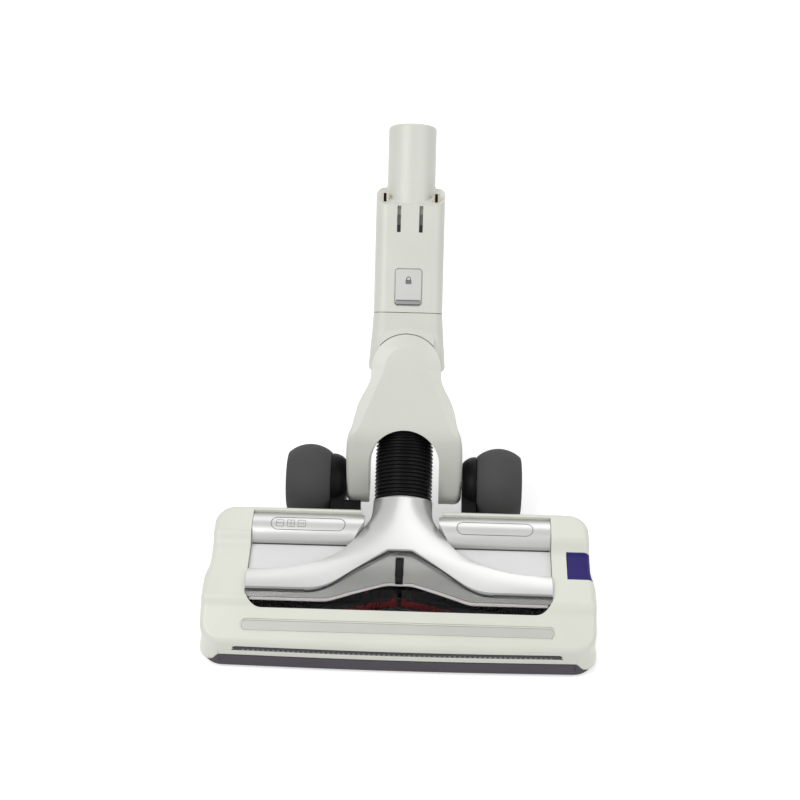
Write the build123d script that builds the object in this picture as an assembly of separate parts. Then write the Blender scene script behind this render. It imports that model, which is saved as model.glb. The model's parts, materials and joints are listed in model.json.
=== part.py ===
from build123d import *
import os
from math import atan, cos, degrees, radians, sin, tan

# Powered floor brush head of a stick vacuum cleaner: a low housing with a window over its brush
# roller, two wheels, a neck that pitches and swivels, and a connector tube for the wand.
# Millimetres. x is to the right, y to the back and z up, with the floor at z = 0. The model is
# drawn with y = 0 at the wheel axle and moved at the end to the middle of its footprint.

# Housing outline
HEAD_WIDTH = 260.0  # over the front corners
HEAD_FRONT = 143.3  # axle to front face
HEAD_REAR = 42.3  # axle to rear wall
FRONT_BOW = 2.0  # the front face is this much further forward in the middle
SIDE_STEP = 2.6  # the rear half is narrower by this much at each side
STEP_PLACE = 93.0  # axle to the middle of that step
STEP_RUN = 10.0
STEP_ROUND = 30.0
FRONT_CORNER = 14.0
REAR_CORNER = 14.0
WALL = 2.2
EDGE_ROUND = 4.5
RUNOUT = 20.0  # cutting profiles reach this far past the housing

# Housing heights, and the distances from the axle where its roof changes slope
SOLE_CLEARANCE = 2.8
FLOOR = 2.2
SKIRT_FOOT = 8.0  # lower edge of the upper housing
FASCIA_FOOT = 14.5  # its lower edge above the bumper
FRONT_HEIGHT = 28.7
SLOPE_END = 121.0
SLOPE_HEIGHT = 39.0
MID_FRONT = 115.6
MID_HEIGHT = 44.0
MID_REAR = 73.4
TOP_FRONT = 66.0
TOP_HEIGHT = 49.8
ROOF_DIP = 10.0  # hollow rounding where the roof steps up
ROOF_CROWN = 6.0  # rounding at the top of those steps

# Opening between the wings, and what fills it
WING_WIDTH = 28.5  # housing beside the opening
DECK_REAR = 47.0
DECK_HEIGHT = 41.0
DECK_THICK = 2.0
WINDOW_CORNER = 12.0
WINDOW_THICK = 2.0
TRIM_PLACE = 110.8  # axle to the straight stretches of the cover's front edge
TRIM_HEIGHT = 45.6
TRIM_STRAIGHT = 62.0  # those stretches start at this distance from the middle
APEX_PLACE = 80.0
APEX_HEIGHT = 50.0
APEX_HALF = 8.0
BAND_REAR = 94.5  # axle to the rear edge of the cover's arms
TRIM_MID = Vector(33.0, -98.4)
TRIM_RISE = (-0.8, 0.6)
ARM_FLAT = 13.5  # the cover's rear edge starts to sweep back here, inside the wing
NECK_SWEEP = 36.0  # and meets the neck's side here
SWEEP_POINTS = [(55.5, -87.5), (35.0, -72.5), (26.7, -57.9)]
COVER_BASE = 30.0
COVER_SPREAD = 10.5  # the cover's arms are drawn this far past the opening and cut to it
NECK_CUT = 27.5  # half the gap in the rear lip for the neck
COVER_WALL = 2.0
LINER_PLACE = 114.0
LINER_STEP = 103.5
LINER_HALF = 47.0
LINER_TOP_HALF = 8.5
LINER_THICK = 1.4
RIB_WIDTH = 5.0
MOTOR_COVER_PLACE = 56.0
MOTOR_COVER_RADIUS = 14.0
MOTOR_COVER_WALL = 1.6

# Front trim
STRIP_MARGIN = 27.0  # strip end to housing side
STRIP_WIDTH = 8.4
STRIP_RECESS = 1.2
STRIP_THICK = 0.9
STRIP_SHIFT = 0.6
SLOT_MARGIN = 21.5
SLOT_HEIGHT = 3.0
SLOT_LEVEL = 22.4
SLOT_SLANT = 2.6
LENS_THICK = 1.5
BUMPER_THICK = 2.6
BUMPER_PROUD = 0.5
BUMPER_FOOT = 3.2
BUMPER_CORNER = 13.0  # it is lower this near to the sides
BUMPER_WRAP = 17.0

# Brush and its drive
BRUSH_PLACE = 111.0
BRUSH_RADIUS = 18.5
BRUSH_LIFT = 0.5  # bristle tips above the floor
BRUSH_CORE = 12.5
END_GAP = 1.2  # roller to chamber end
BRISTLE_WIDTH = 3.2
BRISTLE_ROWS = 4
BRISTLE_TWIST = 75.0
MOUTH_MARGIN = 4.3  # mouth end inside the wing
CHAMBER_GAP = 3.3
END_PLATE = 2.4
SHAFT_RADIUS = 4.0
BEARING_RADIUS = 8.0
BEARING_WIDTH = 6.0
MOTOR_PLACE = 57.5
MOTOR_LEVEL = 36.5
MOTOR_RADIUS = 10.0
MOTOR_LENGTH = 50.0
MOTOR_SHAFT = 1.6
PULLEY_MARGIN = 16.0  # belt's middle to housing side
PULLEY_WIDTH = 8.0
MOTOR_PULLEY_RADIUS = 5.5
BRUSH_PULLEY_RADIUS = 11.0
BELT_THICK = 1.5
BELT_WIDTH = 6.0
THROAT_HALF = 38.0
THROAT_LOW = 8.0
THROAT_HIGH = 30.0

# Release button on the right wing
BUTTON_REACH = 18.3  # button's inner edge to housing side
BUTTON_FRONT = 94.4
BUTTON_REAR = 72.8
BUTTON_FOOT = 39.0
BUTTON_TRAVEL = 2.5
BUTTON_STEM = 3.0

# Wheels and arms
WHEEL_RADIUS = 27.0
WHEEL_GAP = 0.3  # arm to wheel
WHEEL_WIDTH = 31.9
WHEEL_EDGE = 20.6
TYRE_BORE = 16.0
AXLE_RADIUS = 3.0
LEG_GAP = 0.6  # yoke leg to arm
ARM_WIDTH = 9.8
ARM_BOSS_SMALL = 15.6
ARM_TOP = 30.0
ARM_REACH = 6.0  # length inside the housing
GUIDE_WIDTH = 11.5
GUIDE_LENGTH = 22.5
GUIDE_TOP = 33.0
ROLLER_RADIUS = 6.0
ROLLER_WIDTH = 7.0
ROLLER_MARGIN = 18.0  # roller's middle to housing side
ROLLER_PLACE = 127.5
ROLLER_PIN = 1.5

# Neck: along is measured from the axle up the neck, forward from the axle towards its front face
NECK_PITCH = 45.0
NECK_OFFSET = 9.0  # tube axis in front of the axle
RIM_ALONG = -11.6
RIM_FORWARD = 22.0
RIM_PITCH = 28.5
RIM_RADIUS = 20.7
PIPE_RADIUS = 17.6
PIPE_WALL = 1.8
PIPE_OVERLAP = 7.0
BELLOWS_RADIUS = 20.3
BELLOWS_ROOT = 18.6
BELLOWS_BORE = 17.9
BELLOWS_END = 47.3
BELLOWS_STRAIGHT = 30.6
BELLOWS_RINGS = 13
YOKE_FRONT = 34.0
YOKE_REAR = 13.6
YOKE_FOOT = 13.8
YOKE_TOE = 8.4  # axle to where the shin's line meets the level of the foot
YOKE_KNEE = 36.0
YOKE_EDGE = 4.0
LEG_OUTER = 40.9
LEG_INNER = 24.8
LEG_STRAIGHT = 17.0
LEG_ROUND = 6.0  # lower outer corners of the legs
LEG_PART = 41.0  # below this the legs are all one with the front shell
ARCH_CENTRE = 14.5
WAIST_HALF = 24.6
WAIST_ALONG = 76.0
HIP_HALF = 32.6
HIP_ALONG = 58.0
SHOULDER_HALF = 37.0
SHOULDER_ALONG = 41.5
SWIVEL_ALONG = 82.0
DOME_RADIUS = 24.4
DISC_GAP = 18.8  # half the distance between the yoke's two discs
SWIVEL_PIN = 5.0
SWIVEL_PIN_LENGTH = 4.2

# Swivel collar and connector
EAR_HALF = 27.3
EAR_FOOT = 80.0
COLLAR_SHOULDER = 108.0
COLLAR_TOP = 121.4
COLLAR_WALL = 3.2
TUBE_WIDTH = 48.4
TUBE_DEPTH = 39.0
TUBE_CORNER = 9.0
TUBE_WALL = 2.6
SEAM = 0.4
TUBE_SHOULDER = 196.2
TUBE_TOP = 212.0
SPIGOT_RADIUS = 17.0
SPIGOT_BORE = 14.6
SPIGOT_TIP = 254.6
SPIGOT_LEAD = 2.4
SLIT_PITCH = 15.4
SLIT_WIDTH = 2.6
SLIT_LENGTH = 18.5
SLIT_DEPTH = 5.2
LOCK_WIDTH = 18.6
LOCK_LOW = 126.6
LOCK_HIGH = 152.2
LOCK_SPARE = 1.5
LOCK_THICK = 3.9
LOCK_PROUD = 1.0
LOCK_TRAVEL = 1.6
LOCK_DEPTH = LOCK_THICK - LOCK_PROUD + LOCK_TRAVEL + LOCK_SPARE
LOCK_LIP = 3.4
LOCK_CORNER = 2.2
CONTACT_SIDE = 18.0
CONTACT_WIDTH = 5.2
CONTACT_DEPTH = 3.6
CONTACT_HEIGHT = 9.6
CONTACT_SLIT = 2.0
CONTACT_BACK = 0.8

# Small features
CURB_DROP = 2.4  # the deck lies under the roof by this much
DECK_LAP = 2.5  # panel under the cover's arms
DECK_BACK = 68.2
DECK_BRIDGE = 3.0
DECK_GAP = 60.0
LINER_ROUND = 3.0
RIB_DROP = 1.0
RIB_DEPTH = 2.6
RIB_TOP = 4.0
WINDOW_RISE = (0.82, 0.57)
EMITTERS = 12
EMITTER_SIZE = 2.4
EMITTER_DEPTH = 1.6
EMITTER_MARGIN = 8.0
BOARD_THICK = 1.4
BOARD_HALF = 4.0
SOLE_INSET = 0.8
UPSTAND = 13.0
FRONT_WALL_TOP = 29.0
HOOD_REACH = 10.0  # hood's front edge behind the brush axis
HOOD_TOP = 36.4
CRADLE_STEPS = (9.0, 37.0)  # saddles from the motor's drive end
CRADLE_TOP = 33.0
BOARD_START = 46.0
BOARD_MARGIN_SIDE = 11.5  # posts to the wing
BOARD_FRONT = 70.0
BOARD_BACK = 56.0
BOARD_LEVEL = 24.0
BOARD_MARGIN = 4.0
POST_RADIUS = 2.6
CAPACITOR = 8.0
BUTTON_SEAT = 6.9  # stem to button's inner edge
STEM_FOOT = 22.0
POST_TOP = 28.0
POST_OUTER = 6.0
SPRING_WIRE = 0.5
SPRING_TURNS = 6
BED_LENGTH = 28.0
PIPE_RUN = 24.0
TONGUE_HALF = 15.0
TONGUE_END = 35.5
SWEEP_STEPS = 6
SEAL_THICK = 1.6
SEAL_FOOT = 1.0
BRISTLE_STEPS = 3
BRISTLE_START = 1.5
FLANGE = 2.4
PULLEY_RIBS = 4
RIB_GROOVE = 0.8
MOTOR_MARGIN = 4.5  # motor's drive end inside the wing
MOTOR_NOSE = 2.5
MOTOR_CAP = 8.0
TAB_LENGTH = 7.0
TAB_THICK = 0.8
GUIDE_FOOT = 8.0
GUIDE_ROUND = 3.0
AXLE_SETBACK = 3.2  # inner end of an axle inside the leg
AXLE_RECESS = 3.0
HUB_LIP = 2.0
HUB_DISH = 9.0
HUB_BOSS = 7.0
ROLLER_RIB_TOP = 8.8
THROAT_ROUND = 6.0
TUNNEL_GAP = 0.9
KNEE_ROUND = 26.0
COLLAR_FLARE = 0.9
LIP_GAP = 0.5  # dome to lip
LIP_WIDTH = 4.6
LIP_HEIGHT = 2.6
LIP_HALF = 19.0
SCOOP_RUN = 4.0
CONTACT_FORWARD = 11.8
CONTACT_FOOT = 196.0
SHOULDER_ROUND = 5.5
SPIGOT_STEP = 0.5
EAR_ROUND = 6.0
BEVEL_WIDTH = 9.5
BEVEL_DEPTH = 3.0
TYRE_ROUND = 3.0
BOSS_BULGE = 1.6
LOCK_SPRINGS = (133.0, 146.0)
LOCK_SEAT = 2.0
LOCK_COIL = 1.7
LOCK_WIRE = 0.3
LOCK_TURNS = 4
SPRING_HOLE = 2.4

# Clearances
FIT = 0.3  # between moulded pieces that stay together
RUN = 0.05  # radial, round a pin that turns
SWEEP = 0.4  # between pieces that move past each other

# Derived places
DECK_HALF = HEAD_WIDTH / 2 - WING_WIDTH
DECK_FRONT = BAND_REAR + DECK_LAP
ARM_SWEEP = DECK_HALF - ARM_FLAT
COVER_HALF = DECK_HALF + COVER_SPREAD
COVER_STATIONS = [  # distance from axle, half width, edge height, crown height
    (50.0, 27.0, 40.0, 51.6),
    (64.0, 36.0, 43.0, 51.2),
    (80.0, 62.0, 42.0, 50.4),
    (96.0, COVER_HALF, 45.8, 48.0),
    (114.0, COVER_HALF, 45.0, 46.0),
]
STRIP_LENGTH = HEAD_WIDTH - 2 * STRIP_MARGIN
SLOT_LENGTH = HEAD_WIDTH - 2 * SLOT_MARGIN
BUMPER_TALL_HALF = HEAD_WIDTH / 2 - BUMPER_CORNER
MOUTH_HALF = DECK_HALF - MOUTH_MARGIN
BRUSH_HALF = MOUTH_HALF - END_GAP
HOOD_FRONT = BRUSH_PLACE - HOOD_REACH
PULLEY_PLACE = HEAD_WIDTH / 2 - PULLEY_MARGIN
MOTOR_DRIVE = DECK_HALF - MOTOR_MARGIN
CRADLES = [step - MOTOR_DRIVE for step in CRADLE_STEPS]
BOARD_FINISH = DECK_HALF - BOARD_MARGIN_SIDE
BOARD_POSTS = [(x, -y) for x in (BOARD_START, BOARD_FINISH) for y in (BOARD_FRONT, BOARD_BACK)]
BUTTON_INNER = HEAD_WIDTH / 2 - BUTTON_REACH
BUTTON_X = BUTTON_INNER + BUTTON_SEAT
BUTTON_Y = -(BUTTON_FRONT + BUTTON_REAR) / 2
ROLLER_SIDE = HEAD_WIDTH / 2 - ROLLER_MARGIN
ARM_INNER = LEG_OUTER + LEG_GAP
WHEEL_INNER = ARM_INNER + ARM_WIDTH + WHEEL_GAP
AXLE_INNER = LEG_INNER + AXLE_SETBACK
DRUM_RADIUS = DOME_RADIUS - FIT
LIP_RADIUS = DOME_RADIUS + LIP_GAP
AXLE_HEIGHT = WHEEL_RADIUS
BRUSH_LEVEL = BRUSH_RADIUS + BRUSH_LIFT
CHAMBER_RADIUS = BRUSH_RADIUS + CHAMBER_GAP
FLOOR_TOP = SOLE_CLEARANCE + FLOOR
SLOPE = degrees(atan((SLOPE_HEIGHT - FRONT_HEIGHT) / (HEAD_FRONT - SLOPE_END)))
EAR_SWEEP = EAR_HALF + SWEEP
COLLAR_HALF = DISC_GAP - SWEEP
NECK = Pos(0, 0, AXLE_HEIGHT) * Rot(X=NECK_PITCH - 90)
RIM_CENTRE = Vector(
    0,
    RIM_ALONG * cos(radians(NECK_PITCH)) - RIM_FORWARD * sin(radians(NECK_PITCH)),
    AXLE_HEIGHT + RIM_ALONG * sin(radians(NECK_PITCH)) + RIM_FORWARD * cos(radians(NECK_PITCH)),
)
RIM_AXIS = Vector(0, cos(radians(RIM_PITCH)), sin(radians(RIM_PITCH)))


# General helpers
def block(x, y, z):
    """Box from (low, high) pairs along each axis."""
    size = [high - low for low, high in (x, y, z)]
    middle = [(high + low) / 2 for low, high in (x, y, z)]
    return Pos(*middle) * Box(*size)


def rod_x(radius, x, y, z):
    """Cylinder along x between the pair of ends x."""
    return Pos((x[0] + x[1]) / 2, y, z) * Rot(Y=90) * Cylinder(radius, x[1] - x[0])


def rod_y(radius, y, z):
    """Cylinder along y between the pair of ends y, at height z."""
    return Pos(0, (y[0] + y[1]) / 2, z) * Rot(X=90) * Cylinder(radius, y[1] - y[0])


def outline(points, radii):
    """Flat face inside a closed polyline with rounded corners."""
    return make_face(FilletPolyline(*points, radius=radii, close=True))


def along_x(face, half):
    """Solid of a face drawn in (y, z), reaching half to each side of the middle."""
    return extrude(Plane.YZ * face, amount=half, both=True)


def along_y(face, half):
    """Solid of a face drawn in (x, z), reaching half to each side of y = 0."""
    return extrude(Plane.XZ * face, amount=half, both=True)


def upward(face, low, high):
    """Solid of a face drawn in (x, y), between two heights."""
    return extrude(Pos(0, 0, low) * face, amount=high - low, dir=(0, 0, 1))


def turned_x(points, y, z):
    """Solid of revolution about the line along x through (y, z), from (x, radius) points."""
    return Pos(0, y, z) * revolve(make_face(Polyline(*points, close=True)), Axis.X)


def other_side(part):
    """Copy on the other side of the head's middle plane."""
    return mirror(part, about=Plane.YZ)


def coil(radius, wire, length, turns):
    """Helical spring standing on z = 0."""
    path = Helix(pitch=(length - 2 * wire) / turns, height=length - 2 * wire, radius=radius)
    section = Plane(origin=path @ 0, z_dir=path % 0) * Circle(wire)
    return Pos(0, 0, wire) * sweep(section, path=path, is_frenet=True)


# Housing forms
def plan_face(inset=0.0):
    """The housing seen from above, drawn in by inset."""
    half = HEAD_WIDTH / 2
    narrow = half - SIDE_STEP
    right = [
        (narrow, -HEAD_REAR),
        (narrow, STEP_RUN / 2 - STEP_PLACE),
        (half, -STEP_RUN / 2 - STEP_PLACE),
        (half, FRONT_BOW - HEAD_FRONT),
    ]
    rounds = [REAR_CORNER, STEP_ROUND, STEP_ROUND, FRONT_CORNER]
    left = [(-x, y) for x, y in reversed(right)]
    bow_round = HEAD_WIDTH / 4 / tan(atan(FRONT_BOW / half))
    points = right + [(0, -HEAD_FRONT)] + left
    face = outline(points, rounds + [bow_round] + rounds[::-1])
    return offset(face, amount=-inset) if inset else face


def plan_ring(outer, inner, low, high):
    """Upright wall that follows the housing's plan between two insets."""
    return upward(plan_face(outer), low, high) - upward(plan_face(inner), low, high)


def roof_face(drop=0.0):
    """Side view of everything under the roof, drawn in by drop."""
    slope = tan(radians(SLOPE))
    points = [
        (-HEAD_FRONT - RUNOUT, FRONT_HEIGHT - RUNOUT * slope),
        (-SLOPE_END, SLOPE_HEIGHT),
        (-MID_FRONT, MID_HEIGHT),
        (-MID_REAR, MID_HEIGHT),
        (-TOP_FRONT, TOP_HEIGHT),
        (RUNOUT - HEAD_REAR, TOP_HEIGHT),
        (RUNOUT - HEAD_REAR, -RUNOUT),
        (-HEAD_FRONT - RUNOUT, -RUNOUT),
    ]
    face = outline(points, [0, ROOF_DIP, ROOF_CROWN, ROOF_DIP, ROOF_CROWN, 0, 0, 0])
    return offset(face, amount=-drop) if drop else face


def envelope(inset=0.0):
    """The housing as a solid lump with rounded top edges, drawn in by inset."""
    lump = upward(plan_face(inset), 0, TOP_HEIGHT + RUNOUT)
    lump = lump & along_x(roof_face(inset), HEAD_WIDTH)
    walls = lump.faces().filter_by(lambda face: abs(face.normal_at().Z) < 0.01)
    rim = walls.edges().filter_by(Axis.Z, reverse=True)
    rim = rim.filter_by(lambda edge: edge.center().Z > FASCIA_FOOT)
    return fillet(rim, EDGE_ROUND - inset)


def deck_opening(spread, low, high):
    """Space between the wings, from the window's lower edge to the rear lip."""
    half = DECK_HALF + spread
    points = [
        (half, spread - DECK_REAR),
        (half, -SLOPE_END - spread),
        (-half, -SLOPE_END - spread),
        (-half, spread - DECK_REAR),
    ]
    return upward(outline(points, [0, WINDOW_CORNER + spread, WINDOW_CORNER + spread, 0]), low, high)


def slope_plane():
    """Plane on the front bar's sloping face, at the middle of the inlay strip."""
    place = (HEAD_FRONT + SLOPE_END) / 2 - STRIP_SHIFT
    height = SLOPE_HEIGHT - (place - SLOPE_END) * tan(radians(SLOPE))
    normal = (0, -sin(radians(SLOPE)), cos(radians(SLOPE)))
    return Plane(origin=(0, -place, height), x_dir=(1, 0, 0), z_dir=normal)


def slot_solid(gap, depth):
    """Front light slot with slanted ends, drawn in by gap, reaching depth behind the front face."""
    half = SLOT_LENGTH / 2 - gap
    rise = SLOT_HEIGHT / 2 - gap
    points = [
        (half, 0),
        (half - SLOT_SLANT, rise),
        (SLOT_SLANT - half, rise),
        (-half, 0),
        (SLOT_SLANT - half, -rise),
        (half - SLOT_SLANT, -rise),
    ]
    face = Plane.XZ * make_face(Polyline(*points, close=True))
    front = -HEAD_FRONT - RUNOUT
    return extrude(Pos(0, front, SLOT_LEVEL) * face, amount=RUNOUT + depth, dir=(0, 1, 0))


def button_block(gap):
    """Upright block that bounds the release button, grown by gap."""
    x = (BUTTON_INNER - gap, HEAD_WIDTH / 2 + RUNOUT)
    y = (-BUTTON_FRONT - gap, gap - BUTTON_REAR)
    return block(x, y, (BUTTON_FOOT - gap, TOP_HEIGHT + RUNOUT))


OUTER = envelope()
INNER = envelope(WALL)


# Silver neck cover
def behind_trim(shift, low, high):
    """Everything behind the cover's front edge, which is moved back by shift."""
    far = HEAD_WIDTH
    straight = (TRIM_STRAIGHT, shift - TRIM_PLACE)
    apex = (APEX_HALF, shift - APEX_PLACE)
    right = Spline(straight, TRIM_MID + Vector(0, shift), apex, tangents=[(-1, 0), TRIM_RISE])
    left = mirror(right, about=Plane.YZ)
    top = Line(right @ 1, left @ 1)
    rest = Polyline(
        left @ 0,
        (-far, shift - TRIM_PLACE),
        (-far, far),
        (far, far),
        (far, shift - TRIM_PLACE),
        right @ 0,
    )
    return upward(make_face([right, top, left, rest]), low, high)


def cover_reach(inset, low, high):
    """Everything in front of the cover's rear edge, which sweeps from its arms into the neck."""
    far = HEAD_WIDTH
    arm = (ARM_SWEEP, -BAND_REAR)
    neck = (RIM_RADIUS, -NECK_SWEEP)
    edge = Spline(arm, *SWEEP_POINTS, neck, tangents=[(-1, 0), (0, 1)])
    points = []
    for step in range(SWEEP_STEPS + 1):
        heading = edge % (step / SWEEP_STEPS)
        points.append(edge @ (step / SWEEP_STEPS) + Vector(-heading.Y, heading.X) * inset)
    right = Spline(*points, tangents=[(-1, 0), (0, 1)])
    left = mirror(right, about=Plane.YZ)
    waist = right.position_at(1).X
    tail = Polyline(right @ 1, (waist, far), (-waist, far), left @ 1)
    rest = Polyline(
        left @ 0,
        (-far, -BAND_REAR - inset),
        (-far, -far),
        (far, -far),
        (far, -BAND_REAR - inset),
        right @ 0,
    )
    return upward(make_face([right, tail, left, rest]), low, high)


def arch_section(plane, half, foot, crown, base):
    """Closed section of the cover's roof: an arc over upright sides."""
    arc = ThreePointArc((-half, foot), (0, crown), (half, foot))
    sides = Polyline((half, foot), (half, base), (-half, base), (-half, foot))
    return plane * make_face([arc, sides])


def cover_roof(inset):
    """Loft under the cover's crowned top, from the neck's round rim to its wide arms."""
    rim = Plane(origin=RIM_CENTRE + RIM_AXIS * inset, x_dir=(1, 0, 0), z_dir=-RIM_AXIS)
    radius = RIM_RADIUS - inset
    sink = 4 * inset
    sections = [arch_section(rim, radius, 0, radius, -radius - sink)]
    for place, half, foot, crown in COVER_STATIONS:
        plane = Plane(origin=(0, -place, 0), x_dir=(1, 0, 0), z_dir=(0, -1, 0))
        sections.append(arch_section(plane, half - inset, foot - inset, crown - inset, COVER_BASE - sink))
    return loft(sections)


def neck_half(lower):
    """Space under or over the plane through the neck's axis, behind the rear lip."""
    plane = Plane(origin=RIM_CENTRE, x_dir=(1, 0, 0), z_dir=RIM_AXIS)
    side = HEAD_WIDTH / 2 if lower else -HEAD_WIDTH / 2
    return plane * Pos(0, side, 0) * Box(HEAD_WIDTH, HEAD_WIDTH, 2 * HEAD_WIDTH)


def neck_cover():
    """Silver T-shaped cover: crowned arms over the brush and a half-round neck behind."""
    high = TOP_HEIGHT + RUNOUT
    arms = block((FIT - DECK_HALF, DECK_HALF - FIT), (-HEAD_FRONT, -DECK_REAR), (DECK_HEIGHT, high))
    neck = block((-NECK_CUT, NECK_CUT), (-DECK_REAR, HEAD_REAR), (0, high))
    lump = (cover_roof(0) & cover_reach(0, 0, high)) & (arms + neck)
    lump = (lump - neck_half(True)) & behind_trim(0, 0, high)
    hollow = cover_roof(COVER_WALL) & cover_reach(COVER_WALL, 0, high)
    return lump - (hollow & behind_trim(COVER_WALL, 0, high))


# White upper housing and the pieces set into it
def top_frame():
    """White upper housing: wings, front bar and rear lip round the open deck."""
    high = TOP_HEIGHT + RUNOUT
    wide = (-HEAD_WIDTH, HEAD_WIDTH)
    shell = OUTER - INNER - deck_opening(0, DECK_HEIGHT - RUNOUT, high)
    curb = deck_opening(WALL, DECK_HEIGHT - CURB_DROP, high) - deck_opening(0, 0, high)
    shell = shell + (OUTER & curb)
    shell = shell - block(wide, (-2 * HEAD_FRONT, HEAD_REAR), (-RUNOUT, SKIRT_FOOT))
    tall = (-BUMPER_TALL_HALF, BUMPER_TALL_HALF)
    shell = shell - block(tall, (-2 * HEAD_FRONT, BUMPER_WRAP - HEAD_FRONT), (0, FASCIA_FOOT))
    shell = shell - block((-NECK_CUT, NECK_CUT), (-DECK_REAR - WALL, HEAD_REAR), (0, high))
    for side in (-1, 1):
        arm = ARM_INNER + ARM_WIDTH / 2
        x = (side * arm - ARM_WIDTH / 2 - FIT, side * arm + ARM_WIDTH / 2 + FIT)
        shell = shell - block(x, (-HEAD_REAR - 2 * WALL, HEAD_REAR), (0, ARM_TOP + FIT))
    shell = shell - (slope_plane() * extrude(SlotOverall(STRIP_LENGTH, STRIP_WIDTH), amount=-STRIP_RECESS))
    shell = shell - slot_solid(0, RUNOUT / 2)
    notch = button_block(FIT) + button_block(FIT).moved(Pos(0, 0, -BUTTON_TRAVEL))
    return shell - notch


def front_strip():
    """Satin inlay strip, sunk in the front bar."""
    sketch = SlotOverall(STRIP_LENGTH - FIT, STRIP_WIDTH - FIT)
    return slope_plane() * Pos(0, 0, -STRIP_RECESS) * extrude(sketch, amount=STRIP_THICK)


def light_lens():
    """Clear strip in the front light slot."""
    return plan_ring(FIT, FIT + LENS_THICK, 0, FRONT_HEIGHT) & slot_solid(FIT / 2, RUNOUT)


def light_board():
    """Narrow circuit board with a row of light emitters behind the lens."""
    back = -BRUSH_PLACE - CHAMBER_RADIUS - FLOOR
    face = back - BOARD_THICK
    half = SLOT_LENGTH / 2 - EMITTER_MARGIN
    board = block((-half, half), (face, back), (SLOT_LEVEL - BOARD_HALF, SLOT_LEVEL + BOARD_HALF))
    pitch = 2 * (half - EMITTER_MARGIN) / (EMITTERS - 1)
    for index in range(EMITTERS):
        x = (index - (EMITTERS - 1) / 2) * pitch
        size = (x - EMITTER_SIZE / 2, x + EMITTER_SIZE / 2)
        level = (SLOT_LEVEL - EMITTER_SIZE / 2, SLOT_LEVEL + EMITTER_SIZE / 2)
        board = board + block(size, (face - EMITTER_DEPTH, face), level)
    return board


def front_bumper():
    """Soft dark strip round the lower front edge, lower round the corners."""
    ring = plan_ring(-BUMPER_PROUD, BUMPER_THICK, BUMPER_FOOT, FASCIA_FOOT - FIT)
    wide = (-HEAD_WIDTH, HEAD_WIDTH)
    zone = block(wide, (-2 * HEAD_FRONT, BUMPER_WRAP - HEAD_FRONT), (0, SKIRT_FOOT - FIT))
    tall = (FIT - BUMPER_TALL_HALF, BUMPER_TALL_HALF - FIT)
    zone = zone + block(tall, (-2 * HEAD_FRONT, -HEAD_FRONT + BUMPER_WRAP - FIT), (0, FASCIA_FOOT))
    return ring & zone


def deck_panel():
    """Pale flat panel between the wings, open under the neck cover."""
    half = DECK_HALF + WALL / 2
    foot = DECK_HEIGHT - DECK_THICK - CURB_DROP
    panel = block((-half, half), (-DECK_FRONT, -DECK_BACK), (foot, foot + DECK_THICK))
    hole = block((-DECK_GAP, DECK_GAP), (DECK_BRIDGE - DECK_FRONT, 1 - DECK_BACK), (0, TOP_HEIGHT))
    pad = block((FIT - DECK_HALF, DECK_HALF - FIT), (-BAND_REAR, -DECK_BACK), (foot, DECK_HEIGHT - FIT))
    tray = pad + panel
    return tray - (hole & cover_reach(COVER_WALL, 0, TOP_HEIGHT))


def motor_cover(side):
    """Half-round silver cover over one rear bay, cut away for the neck cover."""
    x = (NECK_CUT - COVER_WALL, DECK_HALF - FIT)
    lump = rod_x(MOTOR_COVER_RADIUS, x, -MOTOR_COVER_PLACE, MOTOR_LEVEL)
    inside = (x[0] - 1, x[1] - MOTOR_COVER_WALL)
    hollow = rod_x(MOTOR_COVER_RADIUS - MOTOR_COVER_WALL, inside, -MOTOR_COVER_PLACE, MOTOR_LEVEL)
    lump = lump - (hollow - cover_reach(-FIT - MOTOR_COVER_WALL, 0, TOP_HEIGHT + RUNOUT))
    lump = lump & block((0, HEAD_WIDTH), (-HEAD_FRONT, -DECK_REAR - FIT), (DECK_HEIGHT, TOP_HEIGHT + RUNOUT))
    lump = lump - cover_reach(-FIT, 0, TOP_HEIGHT + RUNOUT)
    return lump if side > 0 else other_side(lump)


def window_shell(drop, thick):
    """Curved sheet over the brush, a given drop under the window's outer face."""
    front = Vector(-SLOPE_END, SLOPE_HEIGHT - drop)
    middle = Vector(-TRIM_PLACE, TRIM_HEIGHT - drop)
    rear = Vector(-APEX_PLACE + RUNOUT / 2, APEX_HEIGHT - drop)
    down = Vector(0, thick)
    top = Spline(front, middle, rear, tangents=[WINDOW_RISE, (1, 0)])
    low = Spline(front - down, middle - down, rear - down, tangents=[WINDOW_RISE, (1, 0)])
    face = make_face([top, low, Line(top @ 0, low @ 0), Line(top @ 1, low @ 1)])
    return along_x(face, HEAD_WIDTH / 2)


def brush_window():
    """Clear window between the front bar and the neck cover."""
    sheet = window_shell(0, WINDOW_THICK) & deck_opening(-FIT, 0, TOP_HEIGHT + RUNOUT)
    return sheet - behind_trim(-FIT, 0, TOP_HEIGHT + RUNOUT)


def chamber_liner():
    """Grey mask under the window, its front edge raised over the air throat."""
    half = DECK_HALF
    points = [
        (half, -LINER_PLACE),
        (LINER_HALF, -LINER_PLACE),
        (LINER_TOP_HALF, -LINER_STEP),
        (-LINER_TOP_HALF, -LINER_STEP),
        (-LINER_HALF, -LINER_PLACE),
        (-half, -LINER_PLACE),
        (-half, -DECK_REAR),
        (half, -DECK_REAR),
    ]
    bend = LINER_ROUND
    plan = upward(outline(points, [0, bend, bend, bend, bend, 0, 0, 0]), 0, TOP_HEIGHT)
    sheet = window_shell(WINDOW_THICK, LINER_THICK) & deck_opening(-FIT, 0, TOP_HEIGHT + RUNOUT)
    sheet = (sheet & plan) - behind_trim(-FIT, 0, TOP_HEIGHT + RUNOUT)
    return sheet - rib_strip(FIT)


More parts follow.
